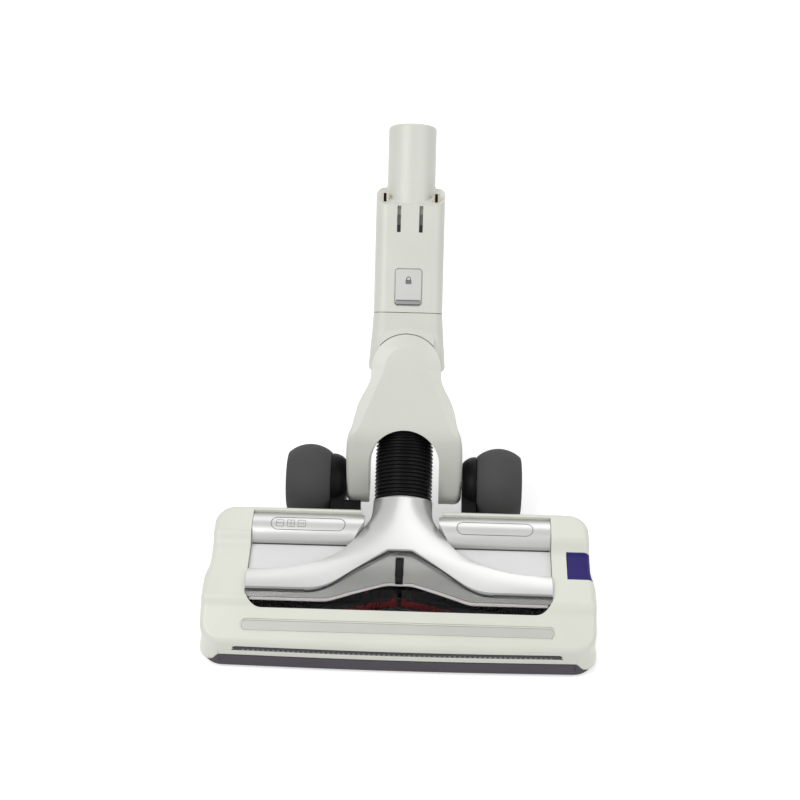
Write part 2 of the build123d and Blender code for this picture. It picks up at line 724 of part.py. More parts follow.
def rib_strip(gap):
    """Upright block through the middle of the liner, grown by gap."""
    half = RIB_WIDTH / 2 + gap
    return block((-half, half), (-LINER_STEP - RIB_DROP - gap, gap - APEX_PLACE - RIB_TOP), (0, TOP_HEIGHT))


def liner_rib():
    """Dark rib set in the middle of the liner, under the window."""
    return window_shell(WINDOW_THICK, RIB_DEPTH) & rib_strip(0)


def release_button():
    """Brush release, flush with the right wing, with a guide stem."""
    cap = OUTER & button_block(0)
    cap = cap - block(
        (BUTTON_INNER + WALL, HEAD_WIDTH / 2 - SIDE_STEP - 2 * WALL),
        (-BUTTON_FRONT + WALL, -BUTTON_REAR - WALL),
        (0, BUTTON_FOOT + WALL),
    )
    stem = Pos(BUTTON_X, BUTTON_Y, (STEM_FOOT + BUTTON_FOOT + WALL) / 2)
    return cap + stem * Cylinder(BUTTON_STEM, BUTTON_FOOT + WALL - STEM_FOOT)


def release_spring():
    """Coil spring round the button's stem."""
    length = BUTTON_FOOT - POST_TOP - 2 * FIT
    wire = SPRING_WIRE
    return Pos(BUTTON_X, BUTTON_Y, POST_TOP + FIT) * coil(BUTTON_STEM + 2 * wire, wire, length, SPRING_TURNS)


# Dark lower housing
def base_tray():
    """Dark lower housing: sole with the brush mouth, rim, chamber walls, cradles and posts."""
    mouth_front = -BRUSH_PLACE - CHAMBER_RADIUS
    mouth_rear = -BRUSH_PLACE + CHAMBER_RADIUS
    tray = upward(plan_face(SOLE_INSET), SOLE_CLEARANCE, FLOOR_TOP)
    tray = tray + plan_ring(SOLE_INSET, SOLE_INSET + FLOOR, SOLE_CLEARANCE, SKIRT_FOOT - FIT)
    tray = tray + plan_ring(WALL + FIT, WALL + FIT + FLOOR, SOLE_CLEARANCE, UPSTAND)
    wide = (-HEAD_WIDTH, HEAD_WIDTH)
    zone = block(wide, (-2 * HEAD_FRONT, BUMPER_WRAP + FIT - HEAD_FRONT), (0, FASCIA_FOOT))
    tray = tray - (plan_ring(-BUMPER_THICK, BUMPER_THICK + FIT, 0, FASCIA_FOOT) & zone)
    tray = tray + plan_ring(BUMPER_THICK + FIT, BUMPER_THICK + FIT + FLOOR, SOLE_CLEARANCE, UPSTAND)
    tray = tray - block((-MOUTH_HALF, MOUTH_HALF), (mouth_front, mouth_rear), (0, UPSTAND))
    x = (-MOUTH_HALF - END_PLATE, MOUTH_HALF + END_PLATE)
    tray = tray + block(x, (mouth_front - FLOOR, mouth_front), (SOLE_CLEARANCE, FRONT_WALL_TOP))
    tray = tray + block(x, (mouth_rear, mouth_rear + FLOOR), (SOLE_CLEARANCE, BRUSH_LEVEL))
    hood = rod_x(CHAMBER_RADIUS + FLOOR, x, -BRUSH_PLACE, BRUSH_LEVEL)
    hood = hood - rod_x(CHAMBER_RADIUS, (x[0] - 1, x[1] + 1), -BRUSH_PLACE, BRUSH_LEVEL)
    tray = tray + (hood & block(x, (-HOOD_FRONT, 0), (BRUSH_LEVEL, HOOD_TOP)))
    for side in (-1, 1):
        tray = tray + end_plate(side)
        tray = tray + roller_ribs(side)
    throat = (-HOOD_FRONT, mouth_rear + 2 * FLOOR)
    tray = tray - block((-THROAT_HALF, THROAT_HALF), throat, (THROAT_LOW, THROAT_HIGH))
    for x in CRADLES:
        tray = tray + motor_cradle(x)
    for x, y in BOARD_POSTS:
        post = Cylinder(POST_RADIUS, BOARD_LEVEL - FLOOR_TOP)
        tray = tray + Pos(x, y, (FLOOR_TOP + BOARD_LEVEL) / 2) * post
    tray = tray + spring_post()
    tray = tray - block((-NECK_CUT, NECK_CUT), (-HEAD_REAR - 3 * FLOOR, 0), (FLOOR_TOP, UPSTAND + FIT))
    tongue = (-HEAD_REAR - 2 * FLOOR, -TONGUE_END)
    tray = tray + block((-TONGUE_HALF, TONGUE_HALF), tongue, (SOLE_CLEARANCE, FLOOR_TOP))
    tray = tray + neck_bed()
    return tray - arm_seats() - roller_pockets() - funnel(PIPE_RADIUS + FIT, FIT)


def end_plate(side):
    """Wall at one end of the brush chamber, with the bearing's seat."""
    x = sorted((side * MOUTH_HALF, side * (MOUTH_HALF + END_PLATE)))
    plate = rod_x(CHAMBER_RADIUS + FLOOR, x, -BRUSH_PLACE, BRUSH_LEVEL)
    foot = (-BRUSH_PLACE - CHAMBER_RADIUS - FLOOR, -BRUSH_PLACE + CHAMBER_RADIUS + FLOOR)
    plate = plate + block(x, foot, (SOLE_CLEARANCE, BRUSH_LEVEL))
    plate = plate & block(x, (-HEAD_FRONT, 0), (SOLE_CLEARANCE, HOOD_TOP))
    plate = plate & INNER.moved(Pos(0, 0, -FIT))
    boss = sorted((side * MOUTH_HALF, side * (MOUTH_HALF + BEARING_WIDTH)))
    plate = plate + rod_x(BEARING_RADIUS + FLOOR, boss, -BRUSH_PLACE, BRUSH_LEVEL)
    hole = (boss[0] - 1, boss[1] + 1)
    return plate - rod_x(BEARING_RADIUS, hole, -BRUSH_PLACE, BRUSH_LEVEL)


def motor_cradle(x):
    """Saddle rib under the motor."""
    y = (-MOTOR_PLACE - MOTOR_RADIUS, MOTOR_RADIUS - MOTOR_PLACE)
    rib = block((x - FLOOR, x + FLOOR), y, (FLOOR_TOP, CRADLE_TOP))
    return rib - rod_x(MOTOR_RADIUS, (x - RUNOUT, x + RUNOUT), -MOTOR_PLACE, MOTOR_LEVEL)


def spring_post():
    """Hollow post that guides the release button's stem."""
    post = Pos(BUTTON_X, BUTTON_Y, (FLOOR_TOP + POST_TOP) / 2) * Cylinder(POST_OUTER, POST_TOP - FLOOR_TOP)
    bore = Cylinder(BUTTON_STEM + SWEEP, 2 * (POST_TOP - FLOOR_TOP - FLOOR))
    return post - Pos(BUTTON_X, BUTTON_Y, POST_TOP) * bore


def neck_bed():
    """Lower half of the neck's outer pipe, standing on the sole."""
    plane = Plane(origin=RIM_CENTRE, x_dir=(1, 0, 0), z_dir=RIM_AXIS)
    tube = Cylinder(RIM_RADIUS, BED_LENGTH) - Cylinder(RIM_RADIUS - COVER_WALL, BED_LENGTH + 1)
    bed = plane * Pos(0, 0, -BED_LENGTH / 2) * tube
    gap = neck_half(False).moved(Location(Vector(0, RIM_AXIS.Z, -RIM_AXIS.Y) * FIT))
    wide = (-HEAD_WIDTH, HEAD_WIDTH)
    return (bed - gap) & block(wide, (-HEAD_FRONT, HEAD_REAR), (SOLE_CLEARANCE, HEAD_WIDTH))


def arm_seats():
    """Slots in the lower housing for the wheel arms."""
    cuts = []
    for side in (-1, 1):
        x = sorted((side * (ARM_INNER - FIT), side * (ARM_INNER + ARM_WIDTH + FIT)))
        y = (-HEAD_REAR - ARM_REACH - FIT, 0)
        cuts.append(block(x, y, (FLOOR_TOP, ARM_TOP)))
    return cuts[0] + cuts[1]


def roller_ribs(side):
    """Two ribs that hold a front roller's pin."""
    ribs = []
    for offset_x in (-1, 1):
        x = side * ROLLER_SIDE + offset_x * (ROLLER_WIDTH / 2 + SWEEP + FLOOR / 2)
        y = (-ROLLER_PLACE - ROLLER_RADIUS, ROLLER_RADIUS - ROLLER_PLACE)
        ribs.append(block((x - FLOOR / 2, x + FLOOR / 2), y, (SOLE_CLEARANCE, ROLLER_RIB_TOP)))
    return ribs[0] + ribs[1]


def roller_pockets():
    """Openings in the sole for the front rollers, with the bores for their pins."""
    cuts = []
    for side in (-1, 1):
        x = (side * ROLLER_SIDE - ROLLER_WIDTH / 2 - SWEEP, side * ROLLER_SIDE + ROLLER_WIDTH / 2 + SWEEP)
        y = (-ROLLER_PLACE - ROLLER_RADIUS - SWEEP, ROLLER_RADIUS + SWEEP - ROLLER_PLACE)
        pin = ROLLER_WIDTH / 2 + SWEEP + FLOOR
        ends = (side * ROLLER_SIDE - pin, side * ROLLER_SIDE + pin)
        cuts.append(block(x, y, (0, FLOOR_TOP)) + rod_x(ROLLER_PIN, ends, -ROLLER_PLACE, ROLLER_RADIUS))
    return cuts[0] + cuts[1]


def mouth_seal():
    """Rubber wiper hanging from the rear edge of the mouth."""
    rear = CHAMBER_RADIUS - BRUSH_PLACE
    half = MOUTH_HALF - END_PLATE
    y = (rear - SEAL_THICK, rear)
    return block((-half, half), y, (SEAL_FOOT, THROAT_LOW - FIT))


# Brush roller and its drive
def bristle_strip(turn, side):
    """One half of a V-shaped bristle row, twisted along the roller from the middle outwards."""
    sections = []
    for step in range(BRISTLE_STEPS + 1):
        share = step / BRISTLE_STEPS
        angle = radians(turn + BRISTLE_TWIST * share)
        reach = Vector(0, cos(angle), sin(angle))
        place = (side * (BRISTLE_START + (BRUSH_HALF - BRISTLE_START) * share), -BRUSH_PLACE, BRUSH_LEVEL)
        plane = Plane(origin=place, x_dir=reach, z_dir=(1, 0, 0))
        middle = (BRUSH_CORE + BRUSH_RADIUS) / 2
        sections.append(plane * Pos(middle, 0) * Rectangle(BRUSH_RADIUS - BRUSH_CORE + FIT, BRISTLE_WIDTH))
    return loft(sections, ruled=True)


def bristles(first):
    """All bristle rows of one colour, starting at an angle."""
    strips = []
    for row in range(BRISTLE_ROWS):
        turn = first + row * 360 / BRISTLE_ROWS
        strips += [bristle_strip(turn, -1), bristle_strip(turn, 1)]
    core = rod_x(BRUSH_CORE, (-BRUSH_HALF, BRUSH_HALF), -BRUSH_PLACE, BRUSH_LEVEL)
    return Compound([(strip - core).solid() for strip in strips])


def brush_core():
    """Roller core with its stub shafts."""
    stub = PULLEY_PLACE + PULLEY_WIDTH / 2
    right = MOUTH_HALF + BEARING_WIDTH
    core = rod_x(BRUSH_CORE, (-BRUSH_HALF, BRUSH_HALF), -BRUSH_PLACE, BRUSH_LEVEL)
    return core + rod_x(SHAFT_RADIUS, (-stub, right), -BRUSH_PLACE, BRUSH_LEVEL)


def brush_bearing(side):
    """Plain bearing ring in an end plate."""
    x = sorted((side * MOUTH_HALF, side * (MOUTH_HALF + BEARING_WIDTH)))
    ring = rod_x(BEARING_RADIUS, x, -BRUSH_PLACE, BRUSH_LEVEL)
    return ring - rod_x(SHAFT_RADIUS + RUN, (x[0] - 1, x[1] + 1), -BRUSH_PLACE, BRUSH_LEVEL)


def pulley(radius, bore, y, z):
    """Ribbed pulley on the left, with a flange at each side."""
    half = PULLEY_WIDTH / 2
    ribs = BELT_WIDTH / 2 + FIT
    points = [(-half, bore), (-half, radius + FLANGE), (-ribs, radius + FLANGE), (-ribs, radius)]
    for rib in range(PULLEY_RIBS):
        start = -ribs + rib * 2 * ribs / PULLEY_RIBS
        points.append((start + ribs / PULLEY_RIBS, radius - RIB_GROOVE))
        points.append((start + 2 * ribs / PULLEY_RIBS, radius))
    points += [(ribs, radius + FLANGE), (half, radius + FLANGE), (half, bore)]
    return Pos(-PULLEY_PLACE, 0, 0) * turned_x(points, y, z)


def drive_belt():
    """Ribbed belt round both pulleys."""
    x = (-PULLEY_PLACE - BELT_WIDTH / 2, BELT_WIDTH / 2 - PULLEY_PLACE)
    loops = []
    for gap in (FIT, FIT + BELT_THICK):
        small = Pos(-MOTOR_PLACE, MOTOR_LEVEL) * Circle(MOTOR_PULLEY_RADIUS + gap)
        large = Pos(-BRUSH_PLACE, BRUSH_LEVEL) * Circle(BRUSH_PULLEY_RADIUS + gap)
        face = Plane.YZ * make_hull((small + large).edges())
        loops.append(extrude(Pos(x[0], 0, 0) * face, amount=BELT_WIDTH, dir=(1, 0, 0)))
    return loops[1] - loops[0]


def brush_motor():
    """Motor can with a stepped drive end and terminals at the far end."""
    drive = -MOTOR_DRIVE
    rear = drive + MOTOR_LENGTH
    nose = MOTOR_SHAFT + MOTOR_NOSE
    points = [
        (drive - MOTOR_NOSE, MOTOR_SHAFT + RUN),
        (drive - MOTOR_NOSE, nose),
        (drive, nose),
        (drive, MOTOR_RADIUS),
        (rear - MOTOR_CAP, MOTOR_RADIUS),
        (rear - MOTOR_CAP, MOTOR_RADIUS - FLOOR),
        (rear, MOTOR_RADIUS - FLOOR),
        (rear, nose),
        (rear + MOTOR_NOSE, nose),
        (rear + MOTOR_NOSE, MOTOR_SHAFT + RUN),
    ]
    can = turned_x(points, -MOTOR_PLACE, MOTOR_LEVEL)
    for side in (-1, 1):
        y = -MOTOR_PLACE + side * MOTOR_RADIUS / 2
        tab = block((rear - 1, rear + TAB_LENGTH), (y - 1, y + 1), (MOTOR_LEVEL - TAB_THICK, MOTOR_LEVEL))
        can = can + tab
    return can


def motor_rotor():
    """Motor shaft."""
    x = (-PULLEY_PLACE - PULLEY_WIDTH / 2, -MOTOR_DRIVE + MOTOR_LENGTH + MOTOR_NOSE)
    return rod_x(MOTOR_SHAFT, x, -MOTOR_PLACE, MOTOR_LEVEL)


def control_board():
    """Circuit board in the right bay, with its larger components."""
    xs = [x for x, y in BOARD_POSTS]
    ys = [y for x, y in BOARD_POSTS]
    x = (min(xs) - BOARD_MARGIN, max(xs) + BOARD_MARGIN)
    y = (min(ys) - BOARD_MARGIN, max(ys) + BOARD_MARGIN)
    top = BOARD_LEVEL + BOARD_THICK
    board = block(x, y, (BOARD_LEVEL, top))
    middle = (y[0] + y[1]) / 2
    can = Cylinder(CAPACITOR / 2, CAPACITOR)
    board = board + Pos(x[0] + 2 * BOARD_MARGIN, middle, top + CAPACITOR / 2) * can
    chip = (x[1] - 3 * CAPACITOR, x[1] - 2 * CAPACITOR)
    board = board + block(chip, (middle - CAPACITOR / 2, middle + CAPACITOR / 2), (top, top + BOARD_THICK))
    plug = (x[1] - CAPACITOR, x[1])
    return board + block(plug, (y[0], y[0] + CAPACITOR), (top, top + CAPACITOR))


# Wheels
def wheel_arm(side):
    """Black arm with a domed boss that carries the axle."""
    outer = ARM_INNER + ARM_WIDTH
    middle = ((ARM_INNER + outer) / 2, (ARM_BOSS_SMALL + WHEEL_EDGE) / 2 + BOSS_BULGE)
    dome = ThreePointArc((ARM_INNER, ARM_BOSS_SMALL), middle, (outer, WHEEL_EDGE))
    rest = Polyline(dome @ 1, (outer, 0), (ARM_INNER, 0), dome @ 0)
    arm = Pos(0, 0, AXLE_HEIGHT) * revolve(make_face([dome, rest]), Axis.X)
    front = -HEAD_REAR - ARM_REACH
    points = [
        (front, FLOOR_TOP),
        (front, ARM_TOP - FIT),
        (-HEAD_REAR + FIT, ARM_TOP - FIT),
        (0, AXLE_HEIGHT + ARM_BOSS_SMALL / 2),
        (0, AXLE_HEIGHT - ARM_BOSS_SMALL),
        (-HEAD_REAR, FLOOR_TOP),
    ]
    beam = extrude(Plane.YZ * outline(points, [0, 0, 0, 0, 0, 0]), amount=ARM_WIDTH, dir=(1, 0, 0))
    arm = arm + Pos(ARM_INNER, 0, 0) * beam
    arm = arm - rod_x(AXLE_RADIUS, (0, HEAD_WIDTH), 0, AXLE_HEIGHT)
    return arm if side > 0 else other_side(arm)


def cable_guide():
    """Black conduit for the motor's lead, beside the left arm."""
    x = (-ARM_INNER, GUIDE_WIDTH - ARM_INNER)
    y = (-HEAD_REAR, GUIDE_LENGTH - HEAD_REAR)
    body = block(x, y, (GUIDE_FOOT, GUIDE_TOP))
    body = fillet(body.edges().filter_by(Axis.X).sort_by(Axis.Z)[-2:], GUIDE_ROUND)
    middle = (x[0] + x[1]) / 2
    level = (GUIDE_TOP - 4 * SLIT_WIDTH, GUIDE_TOP - 2 * SLIT_WIDTH)
    return body - block((middle - SLIT_WIDTH, middle + SLIT_WIDTH), (y[0] - 1, y[1] + 1), level)


def axle(side):
    """Steel pin through arm, wheel and yoke leg."""
    x = sorted((side * AXLE_INNER, side * (WHEEL_INNER + WHEEL_WIDTH - AXLE_RECESS)))
    return rod_x(AXLE_RADIUS, x, 0, AXLE_HEIGHT)


def tyre(side):
    """Barrel-shaped soft tyre."""
    inner = WHEEL_INNER
    outer = WHEEL_INNER + WHEEL_WIDTH
    crown = ThreePointArc((inner, WHEEL_EDGE), ((inner + outer) / 2, WHEEL_RADIUS), (outer, WHEEL_EDGE))
    rest = Polyline((outer, WHEEL_EDGE), (outer, TYRE_BORE), (inner, TYRE_BORE), (inner, WHEEL_EDGE))
    ring = Pos(0, 0, AXLE_HEIGHT) * revolve(make_face([crown, rest]), Axis.X)
    ring = fillet(ring.edges().sort_by(lambda edge: -edge.length)[:2], TYRE_ROUND)
    return ring if side > 0 else other_side(ring)


def wheel_hub(side):
    """Dished hub inside the tyre."""
    inner = WHEEL_INNER
    outer = WHEEL_INNER + WHEEL_WIDTH
    bore = AXLE_RADIUS + RUN
    points = [
        (inner + SWEEP, bore),
        (inner + SWEEP, TYRE_BORE),
        (outer - HUB_LIP, TYRE_BORE),
        (outer - HUB_LIP, TYRE_BORE - FLOOR),
        (outer - HUB_DISH, TYRE_BORE - 2 * FLOOR),
        (outer - HUB_DISH, HUB_BOSS),
        (outer - HUB_LIP, HUB_BOSS),
        (outer - HUB_LIP, bore),
    ]
    hub = turned_x(points, 0, AXLE_HEIGHT)
    return hub if side > 0 else other_side(hub)


def front_roller(side):
    """Small support roller under a front corner."""
    x = (side * ROLLER_SIDE - ROLLER_WIDTH / 2, side * ROLLER_SIDE + ROLLER_WIDTH / 2)
    roller = rod_x(ROLLER_RADIUS, x, -ROLLER_PLACE, ROLLER_RADIUS)
    return roller - rod_x(ROLLER_PIN + RUN, (x[0] - 1, x[1] + 1), -ROLLER_PLACE, ROLLER_RADIUS)


def front_roller_pin(side):
    """Pin of a front roller, held in the ribs."""
    half = ROLLER_WIDTH / 2 + SWEEP + FLOOR
    ends = (side * ROLLER_SIDE - half, side * ROLLER_SIDE + half)
    return rod_x(ROLLER_PIN, ends, -ROLLER_PLACE, ROLLER_RADIUS)


# Air path
def funnel(radius, spread):
    """Solid from the chamber's throat to the round pipe, grown by spread."""
    pipe_start = RIM_CENTRE - RIM_AXIS * PIPE_RUN
    start = Plane(origin=pipe_start, x_dir=(1, 0, 0), z_dir=RIM_AXIS)
    throat_y = CHAMBER_RADIUS + FLOOR - BRUSH_PLACE
    throat = Plane(origin=(0, throat_y, (THROAT_LOW + THROAT_HIGH) / 2), x_dir=(1, 0, 0), z_dir=(0, 1, 0))
    sketch = RectangleRounded(2 * (THROAT_HALF + spread), THROAT_HIGH - THROAT_LOW + 2 * spread, THROAT_ROUND)
    tube = start * extrude(Circle(radius), amount=PIPE_RUN + PIPE_OVERLAP)
    return loft([throat * sketch, start * Circle(radius)]) + tube


def air_pipe():
    """Funnel and pipe from the brush chamber to the bellows."""
    return funnel(PIPE_RADIUS, 0) - funnel(PIPE_RADIUS - PIPE_WALL, -PIPE_WALL)


def bellows_path(extra_low, extra_high):
    """Line and arc from the neck's rim to the yoke's duct, in the upright neck frame."""
    bend = radians(NECK_PITCH - RIM_PITCH)
    low = Vector(0, -RIM_FORWARD, RIM_ALONG)
    lean = Vector(0, sin(bend), cos(bend))
    knee = low + lean * BELLOWS_STRAIGHT
    start = Line(low - lean * extra_low, knee)
    end = Vector(0, -NECK_OFFSET, BELLOWS_END)
    arc = TangentArc(knee, end, tangent=lean)
    path = start + arc
    return path + Line(end, end + Vector(0, 0, extra_high)) if extra_high else path


def neck_sweep(radius, extra_low, extra_high):
    """Round bar along the bellows path."""
    path = bellows_path(extra_low, extra_high)
    start = path.edges().sort_by(Axis.Z)[0]
    section = Plane(origin=start @ 0, x_dir=(1, 0, 0), z_dir=start % 0) * Circle(radius)
    return sweep(section, path=path)


def bellows():
    """Ribbed hose between the head and the neck."""
    hose = neck_sweep(BELLOWS_ROOT, -FIT, 0)
    wire = Wire(bellows_path(-FIT, 0).edges())
    pitch = 1 / BELLOWS_RINGS
    half = wire.length * pitch / 4
    for ring in range(BELLOWS_RINGS):
        place = wire.location_at((ring + 0.5) * pitch)
        hose = hose + place * Cylinder(BELLOWS_RADIUS, 2 * half)
    return NECK * (hose - neck_sweep(BELLOWS_BORE, RUNOUT, RUNOUT))


# Yoke
def yoke_lump():
    """Outer form of the yoke, upright: a front outline cut by a side profile."""
    dome = CenterArc((0, SWIVEL_ALONG), DOME_RADIUS, 0, 180)
    points = [(WAIST_HALF, WAIST_ALONG), (HIP_HALF, HIP_ALONG), (SHOULDER_HALF, SHOULDER_ALONG)]
    right = Spline(dome @ 0, *points, (LEG_OUTER, LEG_STRAIGHT), tangents=[(0, -1), (0, -1)])
    left = mirror(right, about=Plane.YZ)
    legs = Polyline(right @ 1, (LEG_OUTER, -2 * YOKE_FOOT), (-LEG_OUTER, -2 * YOKE_FOOT), left @ 1)
    front = extrude(Plane.XZ * make_face([dome, right, left, legs]), amount=2 * YOKE_FRONT, both=True)
    top = SWIVEL_ALONG + 2 * DOME_RADIUS
    side = [
        (YOKE_REAR, -YOKE_FOOT),
        (YOKE_REAR, top),
        (-YOKE_FRONT, top),
        (-YOKE_FRONT, YOKE_KNEE),
        (-YOKE_TOE, -YOKE_FOOT),
    ]
    foot = YOKE_FOOT - FIT
    lump = front & along_x(outline(side, [foot, 0, 0, KNEE_ROUND, foot]), 2 * LEG_OUTER)
    face = lump.faces().sort_by(Axis.Y)[0]
    rim = face.edges().filter_by(lambda edge: abs(edge.center().X) > 1 or edge.center().Z > SWIVEL_ALONG)
    wide = (-HEAD_WIDTH, HEAD_WIDTH)
    behind = block(wide, (BEVEL_DEPTH - YOKE_FRONT, HEAD_WIDTH), wide)
    corner = block((0, 2 * LEG_ROUND), wide, (-2 * LEG_ROUND, 0)) - rod_y(LEG_ROUND, wide, 0)
    corner = Pos(LEG_OUTER - LEG_ROUND, 0, LEG_ROUND - YOKE_FOOT) * corner
    return (fillet(rim, YOKE_EDGE) & (behind + dome_bevel())) - corner - other_side(corner)


def dome_bevel():
    """Slab at the yoke's front whose edge slopes in round the dome and fades out at the hips."""
    wires = []
    for radius, depth in ((DOME_RADIUS, BEVEL_DEPTH), (DOME_RADIUS - BEVEL_WIDTH, 0)):
        arc = CenterArc((0, SWIVEL_ALONG), radius, 0, 180)
        foot = 2 * LEG_OUTER
        skirt = Polyline(arc @ 1, (-foot, -SWIVEL_ALONG), (foot, -SWIVEL_ALONG), arc @ 0)
        plane = Plane(origin=(0, depth - YOKE_FRONT, 0), x_dir=(1, 0, 0), z_dir=(0, -1, 0))
        wires.append(plane * make_face([arc, skirt]))
    return loft(wires, ruled=True)


def yoke_solid():
    """Both yoke shells in one: legs, arch, hose tunnel and the pocket for the swivel drum."""
    lump = yoke_lump()
    deep = 4 * YOKE_FRONT
    slot = block((-LEG_INNER, LEG_INNER), (-deep, deep), (-deep, ARCH_CENTRE))
    slot = slot + Pos(0, 0, 0) * rod_y(LEG_INNER, (-deep, deep), ARCH_CENTRE)
    lump = lump - slot
    lump = lump - neck_sweep(BELLOWS_RADIUS + TUNNEL_GAP, 0, FIT)
    lump = lump - Pos(0, -NECK_OFFSET, SWIVEL_ALONG / 2) * Cylinder(PIPE_RADIUS + FIT, SWIVEL_ALONG)
    pocket = (-NECK_OFFSET - DISC_GAP, DISC_GAP - NECK_OFFSET)
    lump = lump - rod_y(EAR_SWEEP, pocket, SWIVEL_ALONG)
    lump = lump + rod_y(SWIVEL_PIN, (pocket[0] - FIT, pocket[0] + SWIVEL_PIN_LENGTH), SWIVEL_ALONG)
    lump = lump + rod_y(SWIVEL_PIN, (pocket[1] - SWIVEL_PIN_LENGTH, pocket[1] + FIT), SWIVEL_ALONG)
    return lump - rod_x(AXLE_RADIUS + RUN, (-HEAD_WIDTH, HEAD_WIDTH), 0, 0)


def yoke_shell(front):
    """Front or rear shell of the yoke, parted at the tube's axis and above the legs."""
    wide = (-HEAD_WIDTH, HEAD_WIDTH)
    gap = 0 if front else FIT
    rear = block(wide, (gap - NECK_OFFSET, HEAD_WIDTH), (LEG_PART + gap, HEAD_WIDTH))
    return NECK * (YOKE - rear if front else YOKE & rear)


def yoke_duct():
    """Short pipe in the yoke that holds the upper end of the bellows."""
    low = BELLOWS_END - PIPE_OVERLAP
    high = SWIVEL_ALONG - EAR_SWEEP - FIT
    tube = Cylinder(PIPE_RADIUS, high - low) - Cylinder(PIPE_RADIUS - PIPE_WALL, high)
    return NECK * (Pos(0, -NECK_OFFSET, (low + high) / 2) * tube)


# Swivel collar and connector
def collar_section(half, depth, along):
    """Rounded rectangle across the neck."""
    return Pos(0, -NECK_OFFSET, along) * RectangleRounded(2 * half, 2 * depth, TUBE_CORNER)


def swivel_collar():
    """White collar with ears round the yoke's dome and a hollow drum between its discs."""
    skirt = loft(
        [
            collar_section(EAR_HALF, COLLAR_HALF, EAR_FOOT),
            collar_section(TUBE_WIDTH / 2 + COLLAR_FLARE, COLLAR_HALF, COLLAR_SHOULDER),
            collar_section(TUBE_WIDTH / 2, TUBE_DEPTH / 2, COLLAR_TOP),
        ],
        ruled=True,
    )
    high = 2 * COLLAR_TOP
    ears = [(EAR_HALF, EAR_FOOT), (EAR_HALF, high), (-EAR_HALF, high), (-EAR_HALF, EAR_FOOT)]
    skirt = skirt & along_y(outline(ears, [EAR_ROUND, 0, 0, EAR_ROUND]), HEAD_WIDTH)
    faces = (-NECK_OFFSET - COLLAR_HALF, COLLAR_HALF - NECK_OFFSET)
    body = skirt + rod_y(DRUM_RADIUS, faces, SWIVEL_ALONG)
    half = DRUM_RADIUS - 2 * COLLAR_WALL
    inner = RectangleRounded(2 * half, 2 * (COLLAR_HALF - COLLAR_WALL), TUBE_CORNER / 2)
    start = Pos(0, -NECK_OFFSET, SWIVEL_ALONG - 2 * DRUM_RADIUS)
    air = extrude(start * inner, amount=COLLAR_TOP, dir=(0, 0, 1))
    body = body - air
    lip = [
        (LIP_RADIUS, faces[0] + FIT),
        (LIP_RADIUS, faces[0] - LIP_HEIGHT),
        (LIP_RADIUS + LIP_WIDTH, faces[0]),
        (LIP_RADIUS + LIP_WIDTH, faces[0] + FIT),
    ]
    ring = Pos(0, 0, SWIVEL_ALONG) * revolve(make_face(Polyline(*lip, close=True)), Axis.Y)
    wedge = block((-LIP_HALF, LIP_HALF), (-HEAD_WIDTH, 0), (SWIVEL_ALONG + DRUM_RADIUS / 2, COLLAR_TOP))
    body = body + (ring & wedge)
    return NECK * (body - rod_y(SWIVEL_PIN + RUN, (-HEAD_WIDTH, HEAD_WIDTH), SWIVEL_ALONG))


def tube_bar(shrink, low, high):
    """Rounded rectangular bar along the tube, drawn in by shrink."""
    sketch = RectangleRounded(TUBE_WIDTH - 2 * shrink, TUBE_DEPTH - 2 * shrink, TUBE_CORNER - shrink)
    return extrude(Pos(0, -NECK_OFFSET, low) * sketch, amount=high - low, dir=(0, 0, 1))


def connector_tube():
    """White connector body with a scooped shoulder and the round spigot."""
    foot = COLLAR_TOP + SEAM
    face = -NECK_OFFSET - TUBE_DEPTH / 2
    body = tube_bar(0, foot, TUBE_TOP)
    edge = TUBE_WIDTH / 2
    corners = [(-edge, 0), (edge, 0), (edge, TUBE_TOP), (-edge, TUBE_TOP)]
    body = body & along_y(outline(corners, [0, 0, SHOULDER_ROUND, SHOULDER_ROUND]), HEAD_WIDTH)
    scoop = [(face - 1, TUBE_SHOULDER), (-NECK_OFFSET + SCOOP_RUN, TUBE_TOP), (face - 1, TUBE_TOP + RUNOUT)]
    body = body - along_x(make_face(Polyline(*scoop, close=True)), TUBE_WIDTH)
    body = body - tube_bar(TUBE_WALL, foot - 1, TUBE_SHOULDER - SLIT_LENGTH - SLIT_WIDTH)
    depth = (face + FIT, face + LOCK_DEPTH + TUBE_WALL)
    half = LOCK_WIDTH / 2
    outer = half + TUBE_WALL
    body = body + block((-outer, outer), depth, (LOCK_LOW - TUBE_WALL, LOCK_HIGH + TUBE_WALL))
    body = body - lock_block(0, (face - 1, face + LOCK_DEPTH))
    root = Cylinder(SPIGOT_RADIUS + SPIGOT_STEP, TUBE_TOP - TUBE_SHOULDER)
    body = body + Pos(0, -NECK_OFFSET, (TUBE_TOP + TUBE_SHOULDER) / 2) * root
    spigot = Cylinder(SPIGOT_RADIUS, SPIGOT_TIP - TUBE_SHOULDER)
    spigot = fillet(spigot.edges().sort_by(Axis.Z)[-1], SPIGOT_LEAD)
    body = body + Pos(0, -NECK_OFFSET, (SPIGOT_TIP + TUBE_SHOULDER) / 2) * spigot
    body = body - Pos(0, -NECK_OFFSET, SPIGOT_TIP) * Cylinder(SPIGOT_BORE, 2 * (SPIGOT_TIP - foot))
    for side in (-1, 1):
        x = side * SLIT_PITCH / 2
        slit = (x - SLIT_WIDTH / 2, x + SLIT_WIDTH / 2)
        body = body - block(slit, (face - 1, face + SLIT_DEPTH), (TUBE_SHOULDER - SLIT_LENGTH, TUBE_SHOULDER))
        body = body - contact_pocket(side)
    return NECK * body


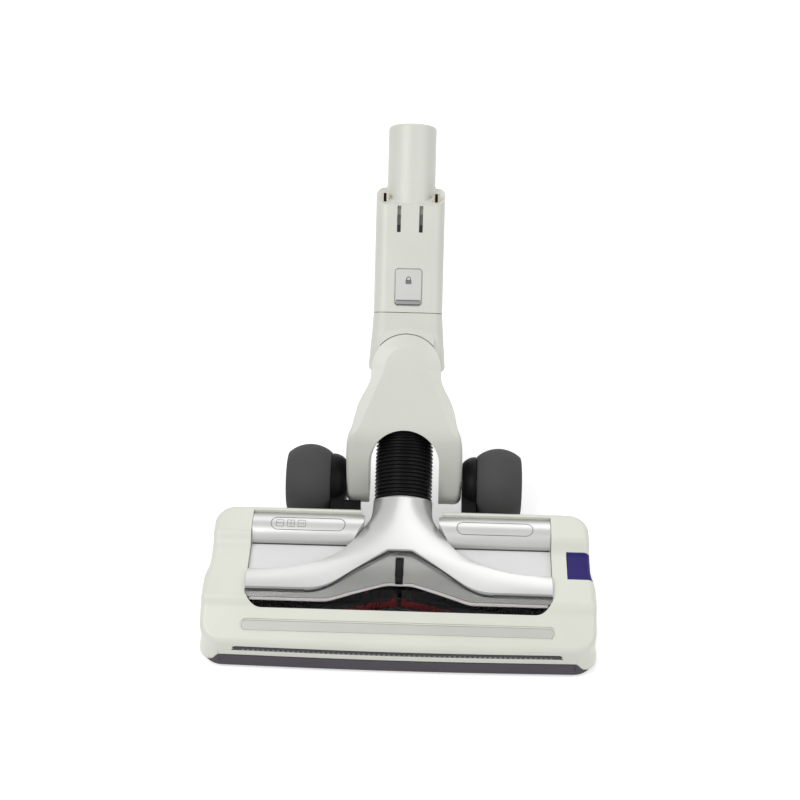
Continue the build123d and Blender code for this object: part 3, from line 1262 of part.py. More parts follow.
def lock_block(gap, y):
    """Upright block with the lock button's rounded outline, drawn in by gap, between the pair of depths y."""
    sketch = RectangleRounded(LOCK_WIDTH - 2 * gap, LOCK_HIGH - LOCK_LOW - 2 * gap, LOCK_CORNER - gap)
    bar = extrude(Plane.XZ * sketch, amount=(y[1] - y[0]) / 2, both=True)
    return Pos(0, (y[0] + y[1]) / 2, (LOCK_LOW + LOCK_HIGH) / 2) * bar


def contact_pocket(side):
    """Slot in the shoulder for a contact."""
    x = side * CONTACT_SIDE
    y = -NECK_OFFSET - CONTACT_FORWARD
    half = CONTACT_WIDTH / 2
    return block((x - half, x + half), (y - CONTACT_DEPTH, y), (CONTACT_FOOT, TUBE_TOP + 1))


def contact(side):
    """Forked metal contact in the shoulder."""
    x = side * CONTACT_SIDE
    y = -NECK_OFFSET - CONTACT_FORWARD
    half = CONTACT_WIDTH / 2
    top = CONTACT_FOOT + CONTACT_HEIGHT
    fork = block((x - half, x + half), (y - CONTACT_DEPTH, y), (CONTACT_FOOT, top))
    slit = (x - CONTACT_SLIT / 2, x + CONTACT_SLIT / 2)
    notch = (CONTACT_FOOT + CONTACT_HEIGHT / 3, top + 1)
    return NECK * (fork - block(slit, (y - 2 * CONTACT_DEPTH, y - CONTACT_BACK), notch))


def lock_button():
    """Silver wand lock button with a sloping lower lip."""
    face = -NECK_OFFSET - TUBE_DEPTH / 2
    half = LOCK_WIDTH / 2 - FIT
    front = face - LOCK_PROUD
    back = front + LOCK_THICK
    low = LOCK_LOW + FIT
    high = LOCK_HIGH - FIT
    points = [(back, low), (face + LOCK_LIP / 4, low), (front, low + LOCK_LIP)]
    points += [(front + LOCK_PROUD / 2, high), (back, high)]
    body = along_x(make_face(Polyline(*points, close=True)), half) & lock_block(FIT, (front - 1, back + 1))
    for along in LOCK_SPRINGS:
        hole = Pos(0, back, along) * Rot(X=90) * Cylinder(SPRING_HOLE, 2 * LOCK_SEAT)
        body = body - hole
    return NECK * body


def lock_springs():
    """Two small coil springs behind the lock button."""
    floor = -NECK_OFFSET - TUBE_DEPTH / 2 + LOCK_DEPTH
    back = -NECK_OFFSET - TUBE_DEPTH / 2 - LOCK_PROUD + LOCK_THICK
    length = floor - back + LOCK_SEAT - 2 * RUN
    springs = []
    for along in LOCK_SPRINGS:
        spring = coil(LOCK_COIL, LOCK_WIRE, length, LOCK_TURNS)
        springs.append(NECK * Pos(0, floor - RUN, along) * Rot(X=90) * spring)
    return Compound([spring.solid() for spring in springs])


YOKE = yoke_solid()

PARTS = {
    "top_frame": top_frame(),
    "base_tray": base_tray(),
    "front_bumper": front_bumper(),
    "deck_panel": deck_panel(),
    "neck_cover": neck_cover(),
    "brush_window": brush_window(),
    "chamber_liner": chamber_liner(),
    "liner_rib": liner_rib(),
    "front_strip": front_strip(),
    "light_lens": light_lens(),
    "light_board": light_board(),
    "release_button": release_button(),
    "release_spring": release_spring(),
    "mouth_seal": mouth_seal(),
    "brush_motor": brush_motor(),
    "motor_rotor": motor_rotor(),
    "motor_pulley": pulley(MOTOR_PULLEY_RADIUS, MOTOR_SHAFT, -MOTOR_PLACE, MOTOR_LEVEL),
    "drive_belt": drive_belt(),
    "brush_pulley": pulley(BRUSH_PULLEY_RADIUS, SHAFT_RADIUS, -BRUSH_PLACE, BRUSH_LEVEL),
    "brush_core": brush_core(),
    "brush_bristles_red": bristles(0),
    "brush_bristles_dark": bristles(180 / BRISTLE_ROWS),
    "control_board": control_board(),
    "cable_guide": cable_guide(),
    "air_pipe": air_pipe(),
    "bellows": bellows(),
    "yoke_front": yoke_shell(True),
    "yoke_rear": yoke_shell(False),
    "yoke_duct": yoke_duct(),
    "swivel_collar": swivel_collar(),
    "connector_tube": connector_tube(),
    "lock_button": lock_button(),
    "lock_springs": lock_springs(),
}
for side, name in ((-1, "left"), (1, "right")):
    PARTS["motor_cover_" + name] = motor_cover(side)
    PARTS["brush_bearing_" + name] = brush_bearing(side)
    PARTS["wheel_arm_" + name] = wheel_arm(side)
    PARTS["axle_" + name] = axle(side)
    PARTS["wheel_tyre_" + name] = tyre(side)
    PARTS["wheel_hub_" + name] = wheel_hub(side)
    PARTS["front_roller_" + name] = front_roller(side)
    PARTS["front_roller_pin_" + name] = front_roller_pin(side)
    PARTS["contact_" + name] = contact(side)

# The origin is the middle of the footprint, between the bumper and the spigot's tip.
boxes = [part.bounding_box() for part in PARTS.values()]
front = min(box.min.Y for box in boxes)
rear = max(box.max.Y for box in boxes)
os.makedirs("parts", exist_ok=True)
for name, part in PARTS.items():
    export_step(Pos(0, -(front + rear) / 2, 0) * part, f"parts/{name}.step")
print("axle at y =", round(-(front + rear) / 2, 3))
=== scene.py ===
import json
import random
from math import atan2, cos, pi, radians, sin, sqrt

import bmesh
import bpy
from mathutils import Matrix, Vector
from mathutils.bvhtree import BVHTree


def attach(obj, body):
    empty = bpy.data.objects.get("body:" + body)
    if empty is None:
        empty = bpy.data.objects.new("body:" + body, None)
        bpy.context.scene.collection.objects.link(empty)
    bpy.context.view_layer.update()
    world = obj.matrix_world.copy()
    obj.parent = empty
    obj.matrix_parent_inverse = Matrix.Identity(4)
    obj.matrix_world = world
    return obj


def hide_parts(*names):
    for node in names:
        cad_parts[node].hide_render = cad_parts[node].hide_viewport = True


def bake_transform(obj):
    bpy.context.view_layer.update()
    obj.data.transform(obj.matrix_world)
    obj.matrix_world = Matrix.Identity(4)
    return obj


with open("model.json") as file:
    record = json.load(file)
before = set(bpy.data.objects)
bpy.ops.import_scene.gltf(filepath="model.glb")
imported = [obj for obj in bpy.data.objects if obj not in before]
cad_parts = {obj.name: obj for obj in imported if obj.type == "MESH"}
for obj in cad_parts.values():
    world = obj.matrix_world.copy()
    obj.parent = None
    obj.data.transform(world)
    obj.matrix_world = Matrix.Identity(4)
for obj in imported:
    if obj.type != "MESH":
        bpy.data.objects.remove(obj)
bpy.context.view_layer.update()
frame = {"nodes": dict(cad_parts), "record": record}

MM = 0.001
X_AXIS = Vector((1, 0, 0))
Y_AXIS = Vector((0, 1, 0))
Z_AXIS = Vector((0, 0, 1))
SIDES = ((-1, "left"), (1, "right"))
SEED = 7
random.seed(SEED)

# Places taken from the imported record
JOINTS = {joint["name"]: joint for joint in frame["record"]["behaviour"]["joints"]}
AXLE = Vector(JOINTS["neck_pitch"]["pos_m"])
BRUSH = Vector(JOINTS["brush_spin"]["pos_m"])
NECK_UP = Vector(frame["record"]["mounts"][0]["axis"])
NECK_BACK = Vector(JOINTS["connector_swivel"]["axis"])


def neck_point(x, back, along):
    """Point given across, behind and along the neck, in millimetres from the axle."""
    return AXLE + (Vector((x, 0, 0)) + NECK_BACK * back + NECK_UP * along) * MM


def head_point(x, y, z):
    """Point given in millimetres, with y measured from the axle."""
    return Vector((x * MM, AXLE.y + y * MM, z * MM))


# Materials; lengths are in metres and noise scales in cycles per metre
EDGE_ROUND = 0.00035
EDGE_SAMPLES = 4
NOISE_LOW = 0.3
NOISE_HIGH = 0.7
TONE_SCALE = 30.0
FINE_GRAIN = 2600.0
GRAIN_DETAIL = 3.0
GLOSS_SPREAD = 0.12
BUMP_STRENGTH = 0.35
COAT_ROUGHNESS = 0.12
STREAK_SCALE = 40.0
STREAK_SHADE = 0.96
CLEAR_IOR = 1.04
CLEAR_COAT = 0.12
CLEAR_COAT_ROUGHNESS = 0.04
CLEAR_ALPHA = 0.6


def new_material(name):
    """New node material, with its node tree, its shader and its object coordinates."""
    material = bpy.data.materials.new(name)
    material.use_nodes = True
    tree = material.node_tree
    shader = tree.nodes["Principled BSDF"]
    place = tree.nodes.new("ShaderNodeTexCoord").outputs["Object"]
    return material, tree, shader, place


def noise(tree, place, scale, detail=2.0, stretch=None):
    """Noise value from object coordinates, stretched if asked."""
    if stretch:
        mapping = tree.nodes.new("ShaderNodeMapping")
        mapping.inputs["Scale"].default_value = stretch
        tree.links.new(place, mapping.inputs["Vector"])
        place = mapping.outputs["Vector"]
    node = tree.nodes.new("ShaderNodeTexNoise")
    node.inputs["Scale"].default_value = scale
    node.inputs["Detail"].default_value = detail
    tree.links.new(place, node.inputs["Vector"])
    return node.outputs["Fac"]


def colour_range(tree, value, low, high):
    """Colour ramp between two colours, driven by a noise value."""
    ramp = tree.nodes.new("ShaderNodeValToRGB")
    ramp.color_ramp.elements[0].position = NOISE_LOW
    ramp.color_ramp.elements[0].color = (*low, 1)
    ramp.color_ramp.elements[1].position = NOISE_HIGH
    ramp.color_ramp.elements[1].color = (*high, 1)
    tree.links.new(value, ramp.inputs["Fac"])
    return ramp.outputs["Color"]


def value_range(tree, value, low, high):
    """Noise value mapped to a range."""
    node = tree.nodes.new("ShaderNodeMapRange")
    node.inputs["From Min"].default_value = NOISE_LOW
    node.inputs["From Max"].default_value = NOISE_HIGH
    node.inputs["To Min"].default_value = low
    node.inputs["To Max"].default_value = high
    tree.links.new(value, node.inputs["Value"])
    return node.outputs["Result"]


def bump(tree, shader, height, distance):
    """Bump from a height value over softened edges."""
    node = tree.nodes.new("ShaderNodeBump")
    node.inputs["Strength"].default_value = BUMP_STRENGTH
    node.inputs["Distance"].default_value = distance
    edge = tree.nodes.new("ShaderNodeBevel")
    edge.samples = EDGE_SAMPLES
    edge.inputs["Radius"].default_value = EDGE_ROUND
    tree.links.new(edge.outputs["Normal"], node.inputs["Normal"])
    tree.links.new(height, node.inputs["Height"])
    tree.links.new(node.outputs["Normal"], shader.inputs["Normal"])


def moulded(
    name, colour, rough, grain=1800.0, depth=0.00004, shade=0.05,
    metal=0.0, coat=0.0, shine=0.5, stretch=None,
):
    """Plastic, rubber, paint or metal: fine grain, and slow changes of tone and gloss."""
    material, tree, shader, place = new_material(name)
    slow = noise(tree, place, TONE_SCALE)
    low = [part * (1 - shade) for part in colour]
    high = [min(1.0, part * (1 + shade)) for part in colour]
    tree.links.new(colour_range(tree, slow, low, high), shader.inputs["Base Color"])
    fine = noise(tree, place, grain, GRAIN_DETAIL, stretch)
    gloss = value_range(tree, fine, rough * (1 - GLOSS_SPREAD), rough * (1 + GLOSS_SPREAD))
    tree.links.new(gloss, shader.inputs["Roughness"])
    bump(tree, shader, fine, depth)
    shader.inputs["Metallic"].default_value = metal
    shader.inputs["Coat Weight"].default_value = coat
    shader.inputs["Coat Roughness"].default_value = COAT_ROUGHNESS
    shader.inputs["Specular IOR Level"].default_value = shine
    return material


def clear(name, colour, rough):
    """Clear plastic with faint streaks in its gloss."""
    material, tree, shader, place = new_material(name)
    streaks = noise(tree, place, STREAK_SCALE)
    tree.links.new(value_range(tree, streaks, rough, rough * 2), shader.inputs["Roughness"])
    low = [part * STREAK_SHADE for part in colour]
    tree.links.new(colour_range(tree, streaks, low, colour), shader.inputs["Base Color"])
    shader.inputs["Transmission Weight"].default_value = 1.0
    shader.inputs["IOR"].default_value = CLEAR_IOR
    shader.inputs["Coat Weight"].default_value = CLEAR_COAT
    shader.inputs["Coat Roughness"].default_value = CLEAR_COAT_ROUGHNESS
    shader.inputs["Alpha"].default_value = CLEAR_ALPHA
    return material


WHITE = moulded("white_shell", (0.76, 0.775, 0.69), 0.4, shade=0.02, coat=0.12)
# Painted shade: the neck parts are the shell's white plastic, made darker because they face away
# from the light
SHADED_NECK_WHITE = moulded("white_neck_shaded", (0.72, 0.73, 0.67), 0.42, shade=0.02, coat=0.1)
DARK = moulded("dark_shell", (0.005, 0.005, 0.0055), 0.42, shine=0.08)
RIB = moulded("rib_matte", (0.004, 0.004, 0.004), 0.7, shine=0.1)
BUMPER = moulded(
    "bumper_soft", (0.075, 0.068, 0.083), 0.62, grain=1200.0, depth=0.0001, shine=0.25,
)
LEDGE = moulded("pale_ledge", (0.76, 0.76, 0.765), 0.45, shade=0.03)
SILVER = moulded(
    "silver_satin", (0.56, 0.56, 0.55), 0.32, grain=FINE_GRAIN, shade=0.03, metal=0.7, coat=0.05,
)
KEY_SILVER = moulded("silver_key", (0.53, 0.53, 0.51), 0.4, grain=FINE_GRAIN, shade=0.03, metal=0.5)
TRIM = moulded("trim_grey", (0.3, 0.3, 0.305), 0.34, grain=FINE_GRAIN, shade=0.05, metal=0.5)
STRIP = moulded("strip_satin", (0.57, 0.575, 0.53), 0.4, grain=FINE_GRAIN, metal=0.1, shade=0.03)
LINER = moulded("grey_mask", (0.25, 0.25, 0.235), 0.3, shade=0.06, metal=0.4, coat=0.1)
VIOLET = moulded("violet_button", (0.03, 0.022, 0.155), 0.42, shade=0.08, shine=0.12)
STEEL = moulded(
    "drawn_steel", (0.55, 0.55, 0.56), 0.3, grain=900.0, metal=1.0, stretch=(0.05, 1, 1),
)
RUBBER = moulded(
    "tyre_rubber", (0.066, 0.066, 0.067), 0.72, grain=1500.0, depth=0.00012, shade=0.1, shine=0.25,
)
HOSE = moulded(
    "hose_rubber", (0.006, 0.006, 0.0065), 0.3, grain=1300.0, depth=0.00003, shade=0.15, shine=0.22,
)
SEAL = moulded("seal_rubber", (0.03, 0.03, 0.032), 0.6, depth=0.0001, shade=0.1)
BOARD = moulded("board_lacquer", (0.02, 0.11, 0.05), 0.35, grain=700.0, shade=0.2, coat=0.3)
BRONZE = moulded("bearing_bronze", (0.5, 0.33, 0.16), 0.4, metal=1.0)
CORE = moulded("roller_core", (0.012, 0.012, 0.013), 0.4, shine=0.2)
BELT = moulded("belt_rubber", (0.02, 0.02, 0.02), 0.65, shade=0.1)
RED = moulded("bristle_red", (0.3, 0.01, 0.013), 0.6, grain=FINE_GRAIN, shade=0.25)
BLACK = moulded("bristle_dark", (0.014, 0.014, 0.016), 0.6, grain=FINE_GRAIN, shade=0.25)
GOLD = moulded("contact_plate", (0.46, 0.41, 0.33), 0.3, metal=1.0)
WINDOW = clear("window_clear", (0.92, 0.92, 0.93), 0.03)
# Painted highlight: the lip's pale colour stands for light caught along the liner's edge
LIP_HIGHLIGHT = moulded(
    "liner_lip_highlight", (0.46, 0.435, 0.415), 0.3, grain=FINE_GRAIN, shade=0.05, metal=0.3, coat=0.3,
)
LENS = clear("lens_clear", (0.3, 0.3, 0.32), 0.12)
SMOKED = moulded("smoked_bar", (0.024, 0.022, 0.027), 0.3, shade=0.15, shine=0.3)
DOME = moulded("lens_dome", (0.2, 0.2, 0.18), 0.3, shade=0.2)
# Painted shade: grey for the line that stands for the shadow in the strip's groove
GROOVE_SHADE = moulded("strip_groove_shade", (0.34, 0.345, 0.3), 0.5, shade=0.05)
INK = moulded("label_ink", (0.16, 0.16, 0.165), 0.55, shade=0.1)

NODE_MATERIALS = {
    WHITE: ["top_frame"],
    SHADED_NECK_WHITE: ["yoke_front", "yoke_rear", "swivel_collar", "connector_tube"],
    DARK: [
        "base_tray", "wheel_arm_left", "wheel_arm_right", "cable_guide", "air_pipe", "yoke_duct",
    ],
    RIB: ["liner_rib"],
    BUMPER: ["front_bumper"],
    LEDGE: ["deck_panel"],
    SILVER: ["neck_cover", "motor_cover_left", "motor_cover_right"],
    KEY_SILVER: ["lock_button"],
    STRIP: ["front_strip"],
    LINER: ["chamber_liner"],
    WINDOW: ["brush_window"],
    LENS: ["light_lens"],
    VIOLET: ["release_button"],
    STEEL: [
        "release_spring", "lock_springs", "axle_left", "axle_right", "motor_rotor",
        "front_roller_pin_left", "front_roller_pin_right", "brush_motor",
    ],
    SEAL: ["mouth_seal"],
    BOARD: ["light_board", "control_board"],
    BRONZE: ["brush_bearing_left", "brush_bearing_right"],
    CORE: ["brush_core", "brush_pulley", "motor_pulley", "wheel_hub_left", "wheel_hub_right"],
    BELT: ["drive_belt"],
    RUBBER: ["wheel_tyre_left", "wheel_tyre_right", "front_roller_left", "front_roller_right"],
    GOLD: ["contact_left", "contact_right"],
}
for material, nodes in NODE_MATERIALS.items():
    for node in nodes:
        mesh = frame["nodes"][node].data
        mesh.materials.clear()
        mesh.materials.append(material)

# Pieces
ALONG_X = 0.9
LINE_AROUND = 8
FINE_AROUND = 6


def add_object(name, data):
    """New object in the scene."""
    made = bpy.data.objects.new(name, data)
    bpy.context.scene.collection.objects.link(made)
    return made


def piece(name, points, faces, body, material, smooth=True):
    """Mesh object from points and faces that rides a body, if one is given."""
    mesh = bpy.data.meshes.new(name)
    mesh.from_pydata([tuple(point) for point in points], [], faces)
    cleaned = bmesh.new()
    cleaned.from_mesh(mesh)
    bmesh.ops.recalc_face_normals(cleaned, faces=cleaned.faces)
    cleaned.to_mesh(mesh)
    cleaned.free()
    for face in mesh.polygons:
        face.use_smooth = smooth
    mesh.materials.append(material)
    made = add_object(name, mesh)
    if body:
        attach(made, body)
    return made


def ring_faces(rings, around, closed):
    """Quads between successive rings of points."""
    faces = []
    last = rings if closed else rings - 1
    for ring in range(last):
        for step in range(around):
            following = (step + 1) % around
            upper = (ring + 1) % rings
            faces.append((
                ring * around + step,
                ring * around + following,
                upper * around + following,
                upper * around + step,
            ))
    return faces


def capped_faces(points, around):
    """Quads between the rings of points, and a face over each end."""
    faces = ring_faces(len(points) // around, around, False)
    faces.append(tuple(range(around)))
    faces.append(tuple(range(len(points) - around, len(points))))
    return faces


def shifted(faces, first):
    """Faces whose points are counted on from a first point."""
    return [tuple(first + index for index in face) for face in faces]


def tube(path, radius, around, closed):
    """Points and faces of a round tube along a path, with capped ends when open."""
    points = []
    count = len(path)
    for index, point in enumerate(path):
        before = path[(index - 1) % count] if closed or index else point
        after = path[(index + 1) % count] if closed or index + 1 < count else point
        heading = (after - before).normalized()
        level = X_AXIS if abs(heading.x) < ALONG_X else Z_AXIS
        side = heading.cross(level).normalized()
        up = side.cross(heading)
        for step in range(around):
            angle = 2 * pi * step / around
            points.append(point + (side * cos(angle) + up * sin(angle)) * radius)
    faces = ring_faces(count, around, True) if closed else capped_faces(points, around)
    return points, faces


# Ribbed hose between the neck's rim and the yoke, straight up to a knee and then bent
HOSE_START = (-22.0, -11.6)
HOSE_LEAN = radians(16.5)
HOSE_STRAIGHT = 30.6
HOSE_KNEE = (
    HOSE_START[0] + HOSE_STRAIGHT * sin(HOSE_LEAN),
    HOSE_START[1] + HOSE_STRAIGHT * cos(HOSE_LEAN),
)
HOSE_END = (-9.0, 47.3)
HOSE_CHORD = sqrt((HOSE_END[0] - HOSE_KNEE[0]) ** 2 + (HOSE_END[1] - HOSE_KNEE[1]) ** 2)
HOSE_TURN = 2 * (HOSE_LEAN - atan2(HOSE_END[0] - HOSE_KNEE[0], HOSE_END[1] - HOSE_KNEE[1]))
HOSE_BEND = HOSE_CHORD / (2 * sin(HOSE_TURN / 2))
HOSE_LENGTH = HOSE_STRAIGHT + HOSE_BEND * HOSE_TURN
HOSE_RINGS = 22
HOSE_CREST = 20.3
HOSE_ROOT = 18.3
HOSE_SHARPNESS = 1.4
HOSE_BORE = 17.9
HOSE_GAP = 0.3
HOSE_AROUND = 72
RING_STEPS = 12
BORE_SHARES = (1.0, 0.75, 0.5, 0.25, 0.0)


def hose_path(distance):
    """Centre (behind, along) and heading of the hose at a distance from its lower end."""
    if distance <= HOSE_STRAIGHT:
        back = HOSE_START[0] + distance * sin(HOSE_LEAN)
        along = HOSE_START[1] + distance * cos(HOSE_LEAN)
        return back, along, HOSE_LEAN
    angle = HOSE_LEAN - (distance - HOSE_STRAIGHT) / HOSE_BEND
    back = HOSE_KNEE[0] + HOSE_BEND * (cos(angle) - cos(HOSE_LEAN))
    along = HOSE_KNEE[1] + HOSE_BEND * (sin(HOSE_LEAN) - sin(angle))
    return back, along, angle


def hose_ring(share, radius):
    """Ring of points round the hose, at a share of its length."""
    back, along, lean = hose_path(HOSE_GAP + (HOSE_LENGTH - HOSE_GAP) * share)
    points = []
    for step in range(HOSE_AROUND):
        angle = 2 * pi * step / HOSE_AROUND
        out = radius * sin(angle)
        across = radius * cos(angle)
        points.append(neck_point(across, back + out * cos(lean), along - out * sin(lean)))
    return points


def make_hose():
    """Ribbed hose with rounded crests, open at both ends."""
    points = []
    rings = HOSE_RINGS * RING_STEPS
    for index in range(rings + 1):
        share = index / rings
        wave = 0.5 - 0.5 * cos(2 * pi * share * HOSE_RINGS)
        points += hose_ring(share, HOSE_ROOT + (HOSE_CREST - HOSE_ROOT) * wave ** HOSE_SHARPNESS)
    for share in BORE_SHARES:
        points += hose_ring(share, HOSE_BORE)
    faces = ring_faces(len(points) // HOSE_AROUND, HOSE_AROUND, True)
    hose = piece("hose", points, faces, None, HOSE)
    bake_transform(hose)
    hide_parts("bellows")


make_hose()

# Bristles of the brush roller
ROLLER_HALF = 96.0
TUFT_START = 1.5
TUFT_TWIST = 75.0
TUFT_ROWS = 4
TUFTS = 84
TUFT_HAIRS = 7
TUFT_SPREAD = 1.3
HAIR_FOOT = 12.3
HAIR_TIP = 18.5
HAIR_TRIM = 0.9
HAIR_WIDTH = 0.34
HAIR_TAPER = 0.55
HAIR_LEAN = 0.06
HAIR_SIDES = 3
HAIR_LIMIT = ROLLER_HALF - HAIR_WIDTH


def hair(points, faces, x, angle, lean):
    """Adds a thin tapered hair standing on the roller."""
    first = len(points)
    tip = HAIR_TIP - random.random() * HAIR_TRIM
    for radius, width in ((HAIR_FOOT, HAIR_WIDTH), (tip, HAIR_WIDTH * HAIR_TAPER)):
        share = (radius - HAIR_FOOT) / (HAIR_TIP - HAIR_FOOT)
        turn = angle + lean * share
        middle = BRUSH + Vector((x, cos(turn) * radius, sin(turn) * radius)) * MM
        side = Vector((0, -sin(turn), cos(turn)))
        for step in range(HAIR_SIDES):
            corner = 2 * pi * step / HAIR_SIDES
            points.append(middle + (X_AXIS * cos(corner) + side * sin(corner)) * width * MM)
    faces += shifted(capped_faces(points[first:], HAIR_SIDES), first)


def make_bristles(name, first, material, node):
    """All V-shaped rows of one colour, as tufts of separate hairs."""
    points = []
    faces = []
    for row in range(TUFT_ROWS):
        for side in (-1, 1):
            for tuft in range(TUFTS):
                share = (tuft + 0.5) / TUFTS
                x = side * (TUFT_START + (ROLLER_HALF - TUFT_START) * share)
                angle = radians(first + row * 360 / TUFT_ROWS + TUFT_TWIST * share)
                for _ in range(TUFT_HAIRS):
                    across = (random.random() - 0.5) * 2 * TUFT_SPREAD
                    along = (random.random() - 0.5) * TUFT_SPREAD
                    place = max(-HAIR_LIMIT, min(HAIR_LIMIT, x + along))
                    lean = (random.random() - 0.5) * HAIR_LEAN
                    hair(points, faces, place, angle + across / HAIR_FOOT, lean)
    made = piece(name, points, faces, "brush", material, smooth=False)
    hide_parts(node)


make_bristles("tufts_red", 0.0, RED, "brush_bristles_red")
make_bristles("tufts_dark", 180.0 / TUFT_ROWS, BLACK, "brush_bristles_dark")

# Grey trim and dark bead along the silver cover's front edge, over the window
EDGE_HALF = 100.8
EDGE_STEP = 1.2
EDGE_FRONT = -122.0
EDGE_REAR = -70.0
EDGE_SEARCH = 1.0
EDGE_HALVINGS = 10
TRIM_WIDTH = 1.6
TRIM_RISE = 0.3
TRIM_SINK = 0.5
TRIM_SECTION = [
    (0, -TRIM_SINK), (0, 0), (0.15, TRIM_RISE), (0.5, TRIM_RISE), (0.85, TRIM_RISE),
    (1, 0), (1, -TRIM_SINK),
]
BEAD_RADIUS = 0.6
BEAD_REACH = 0.36
BEAD_FRONT = 1.0
BEAD_RISE = 0.1
BEAD_AROUND = 10
RAY_HEIGHT = 200.0


def surface_of(node):
    """Ray-casting tree of a solid's mesh."""
    mesh = frame["nodes"][node].data
    corners = [vertex.co for vertex in mesh.vertices]
    return BVHTree.FromPolygons(corners, [face.vertices for face in mesh.polygons])


def drop(surface, x, y):
    """Height of a surface below a place, in millimetres, or None beside it."""
    hit = surface.ray_cast(head_point(x, y, RAY_HEIGHT), -Z_AXIS)[0]
    return hit.z / MM if hit else None


def front_edge(surface):
    """Front edge of a surface seen from above, as (x, y) places from left to right."""
    places = []
    count = round(2 * EDGE_HALF / EDGE_STEP)
    for index in range(count + 1):
        x = -EDGE_HALF + 2 * EDGE_HALF * index / count
        y = EDGE_FRONT
        while y < EDGE_REAR and drop(surface, x, y) is None:
            y += EDGE_SEARCH
        if y >= EDGE_REAR:
            continue
        outside = y - EDGE_SEARCH
        inside = y
        for _ in range(EDGE_HALVINGS):
            middle = (outside + inside) / 2
            if drop(surface, x, middle) is None:
                outside = middle
            else:
                inside = middle
        places.append((x, inside))
    return places


def heading_at(places, index):
    """Direction of a line of (x, y) places at one of them."""
    before = places[max(index - 1, 0)]
    after = places[min(index + 1, len(places) - 1)]
    return Vector((after[0] - before[0], after[1] - before[1])).normalized()


def make_trim():
    """Trim ribbon on the cover and the bead in front of it."""
    surface = surface_of("neck_cover")
    glass = surface_of("brush_window")
    edge = front_edge(surface)
    ribbon = []
    bead = []
    for index, (x, y) in enumerate(edge):
        run = heading_at(edge, index)
        back = Vector((-run.y, run.x))
        front_level = drop(surface, x, y)
        for share, rise in TRIM_SECTION:
            reach = TRIM_WIDTH * share
            there_x = x + back.x * reach
            there_y = y + back.y * reach
            level = drop(surface, there_x, there_y) or front_level
            ribbon.append(head_point(there_x, there_y, level + rise))
        glass_level = drop(glass, x - back.x * BEAD_FRONT, y - back.y * BEAD_FRONT) or front_level
        level = max(glass_level, front_level - BEAD_RADIUS) + BEAD_RISE
        bead.append(head_point(x - back.x * BEAD_REACH, y - back.y * BEAD_REACH, level))
    ribbon_faces = capped_faces(ribbon, len(TRIM_SECTION))
    piece("window_trim", ribbon, ribbon_faces, "head", TRIM, smooth=False)
    bead_points, bead_faces = tube(bead, BEAD_RADIUS * MM, BEAD_AROUND, False)
    piece("window_bead", bead_points, bead_faces, "head", SEAL)


make_trim()

# Glass drawn in a little from the parts it rests on; the weld is in metres
GLASS_GAP = 0.45
GLASS_CREASE = radians(30)
WELD = 0.00001


def make_glass():
    """Window with a fine air gap all round, so that no face lies in another."""
    mesh = bpy.data.meshes.new("window_glass")
    shape = bmesh.new()
    shape.from_mesh(frame["nodes"]["brush_window"].data)
    bmesh.ops.remove_doubles(shape, verts=shape.verts, dist=WELD)
    bmesh.ops.recalc_face_normals(shape, faces=shape.faces)
    shape.normal_update()
    inward = [vertex.normal * GLASS_GAP * MM for vertex in shape.verts]
    for vertex, step in zip(shape.verts, inward):
        vertex.co -= step
    shape.to_mesh(mesh)
    shape.free()
    for face in mesh.polygons:
        face.use_smooth = True
    mesh.set_sharp_from_angle(angle=GLASS_CREASE)
    mesh.materials.append(WINDOW)
    glass = add_object("window_glass", mesh)
    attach(glass, "head")
    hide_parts("brush_window")


make_glass()

# Rounded lip along the grey liner's front edge, under the glass, whose pale colour is a painted
# highlight along that edge
LIP_HALF = 100.4
LIP_STEP = 1.0
LIP_FRONT = -114.0
LIP_BACK = -103.5
LIP_OUTER = 47.0
LIP_INNER = 8.5
LIP_BLEND = (-3.0, -1.5, 0.0, 1.5, 3.0)
LIP_REACH = 0.9
LIP_FORWARD = 0.9
LIP_TALL = 0.55
LIP_GAP = 0.2
LIP_AROUND = 12


def lip_edge(x):
    """Place of the liner's front edge at a distance from the middle, its bends rounded."""
    total = 0.0
    for step in LIP_BLEND:
        off = abs(x + step)
        share = min(1.0, max(0.0, (off - LIP_INNER) / (LIP_OUTER - LIP_INNER)))
        total += LIP_BACK + (LIP_FRONT - LIP_BACK) * share
    return total / len(LIP_BLEND)


def make_lip():
    """Rounded lip that follows the underside of the window, as far as the window reaches."""
    glass = surface_of("brush_window")
    count = round(2 * LIP_HALF / LIP_STEP)
    places = []
    for index in range(count + 1):
        x = -LIP_HALF + 2 * LIP_HALF * index / count
        places.append((x, lip_edge(x)))
    made_points = []
    for index, (x, y) in enumerate(places):
        run = heading_at(places, index)
        ring = []
        for step in range(LIP_AROUND):
            angle = 2 * pi * step / LIP_AROUND
            reach = LIP_REACH * (LIP_FORWARD + cos(angle))
            there_x = x + run.y * reach
            there_y = y - run.x * reach
            hit = glass.ray_cast(head_point(there_x, there_y, 0.0), Z_AXIS)[0]
            if hit:
                level = hit.z / MM - LIP_GAP - LIP_TALL
                ring.append(head_point(there_x, there_y, level + LIP_TALL * sin(angle)))
        if len(ring) == LIP_AROUND:
            made_points += ring
    made_faces = capped_faces(made_points, LIP_AROUND)
    piece("liner_lip_highlight", made_points, made_faces, "head", LIP_HIGHLIGHT)


make_lip()

# Dark joint lines where the motor covers meet the deck
JOINT_PLACE = -69.4
JOINT_LEVEL = 41.1
JOINT_START = 36.0
JOINT_END = 100.6
JOINT_RADIUS = 0.4
JOINT_STEPS = 12
for side, name in SIDES:
    line = []
    for step in range(JOINT_STEPS + 1):
        x = side * (JOINT_START + (JOINT_END - JOINT_START) * step / JOINT_STEPS)
        line.append(head_point(x, JOINT_PLACE, JOINT_LEVEL))
    line_points, line_faces = tube(line, JOINT_RADIUS * MM, LINE_AROUND, False)
    piece(f"cover_joint_{name}", line_points, line_faces, "head", SEAL)

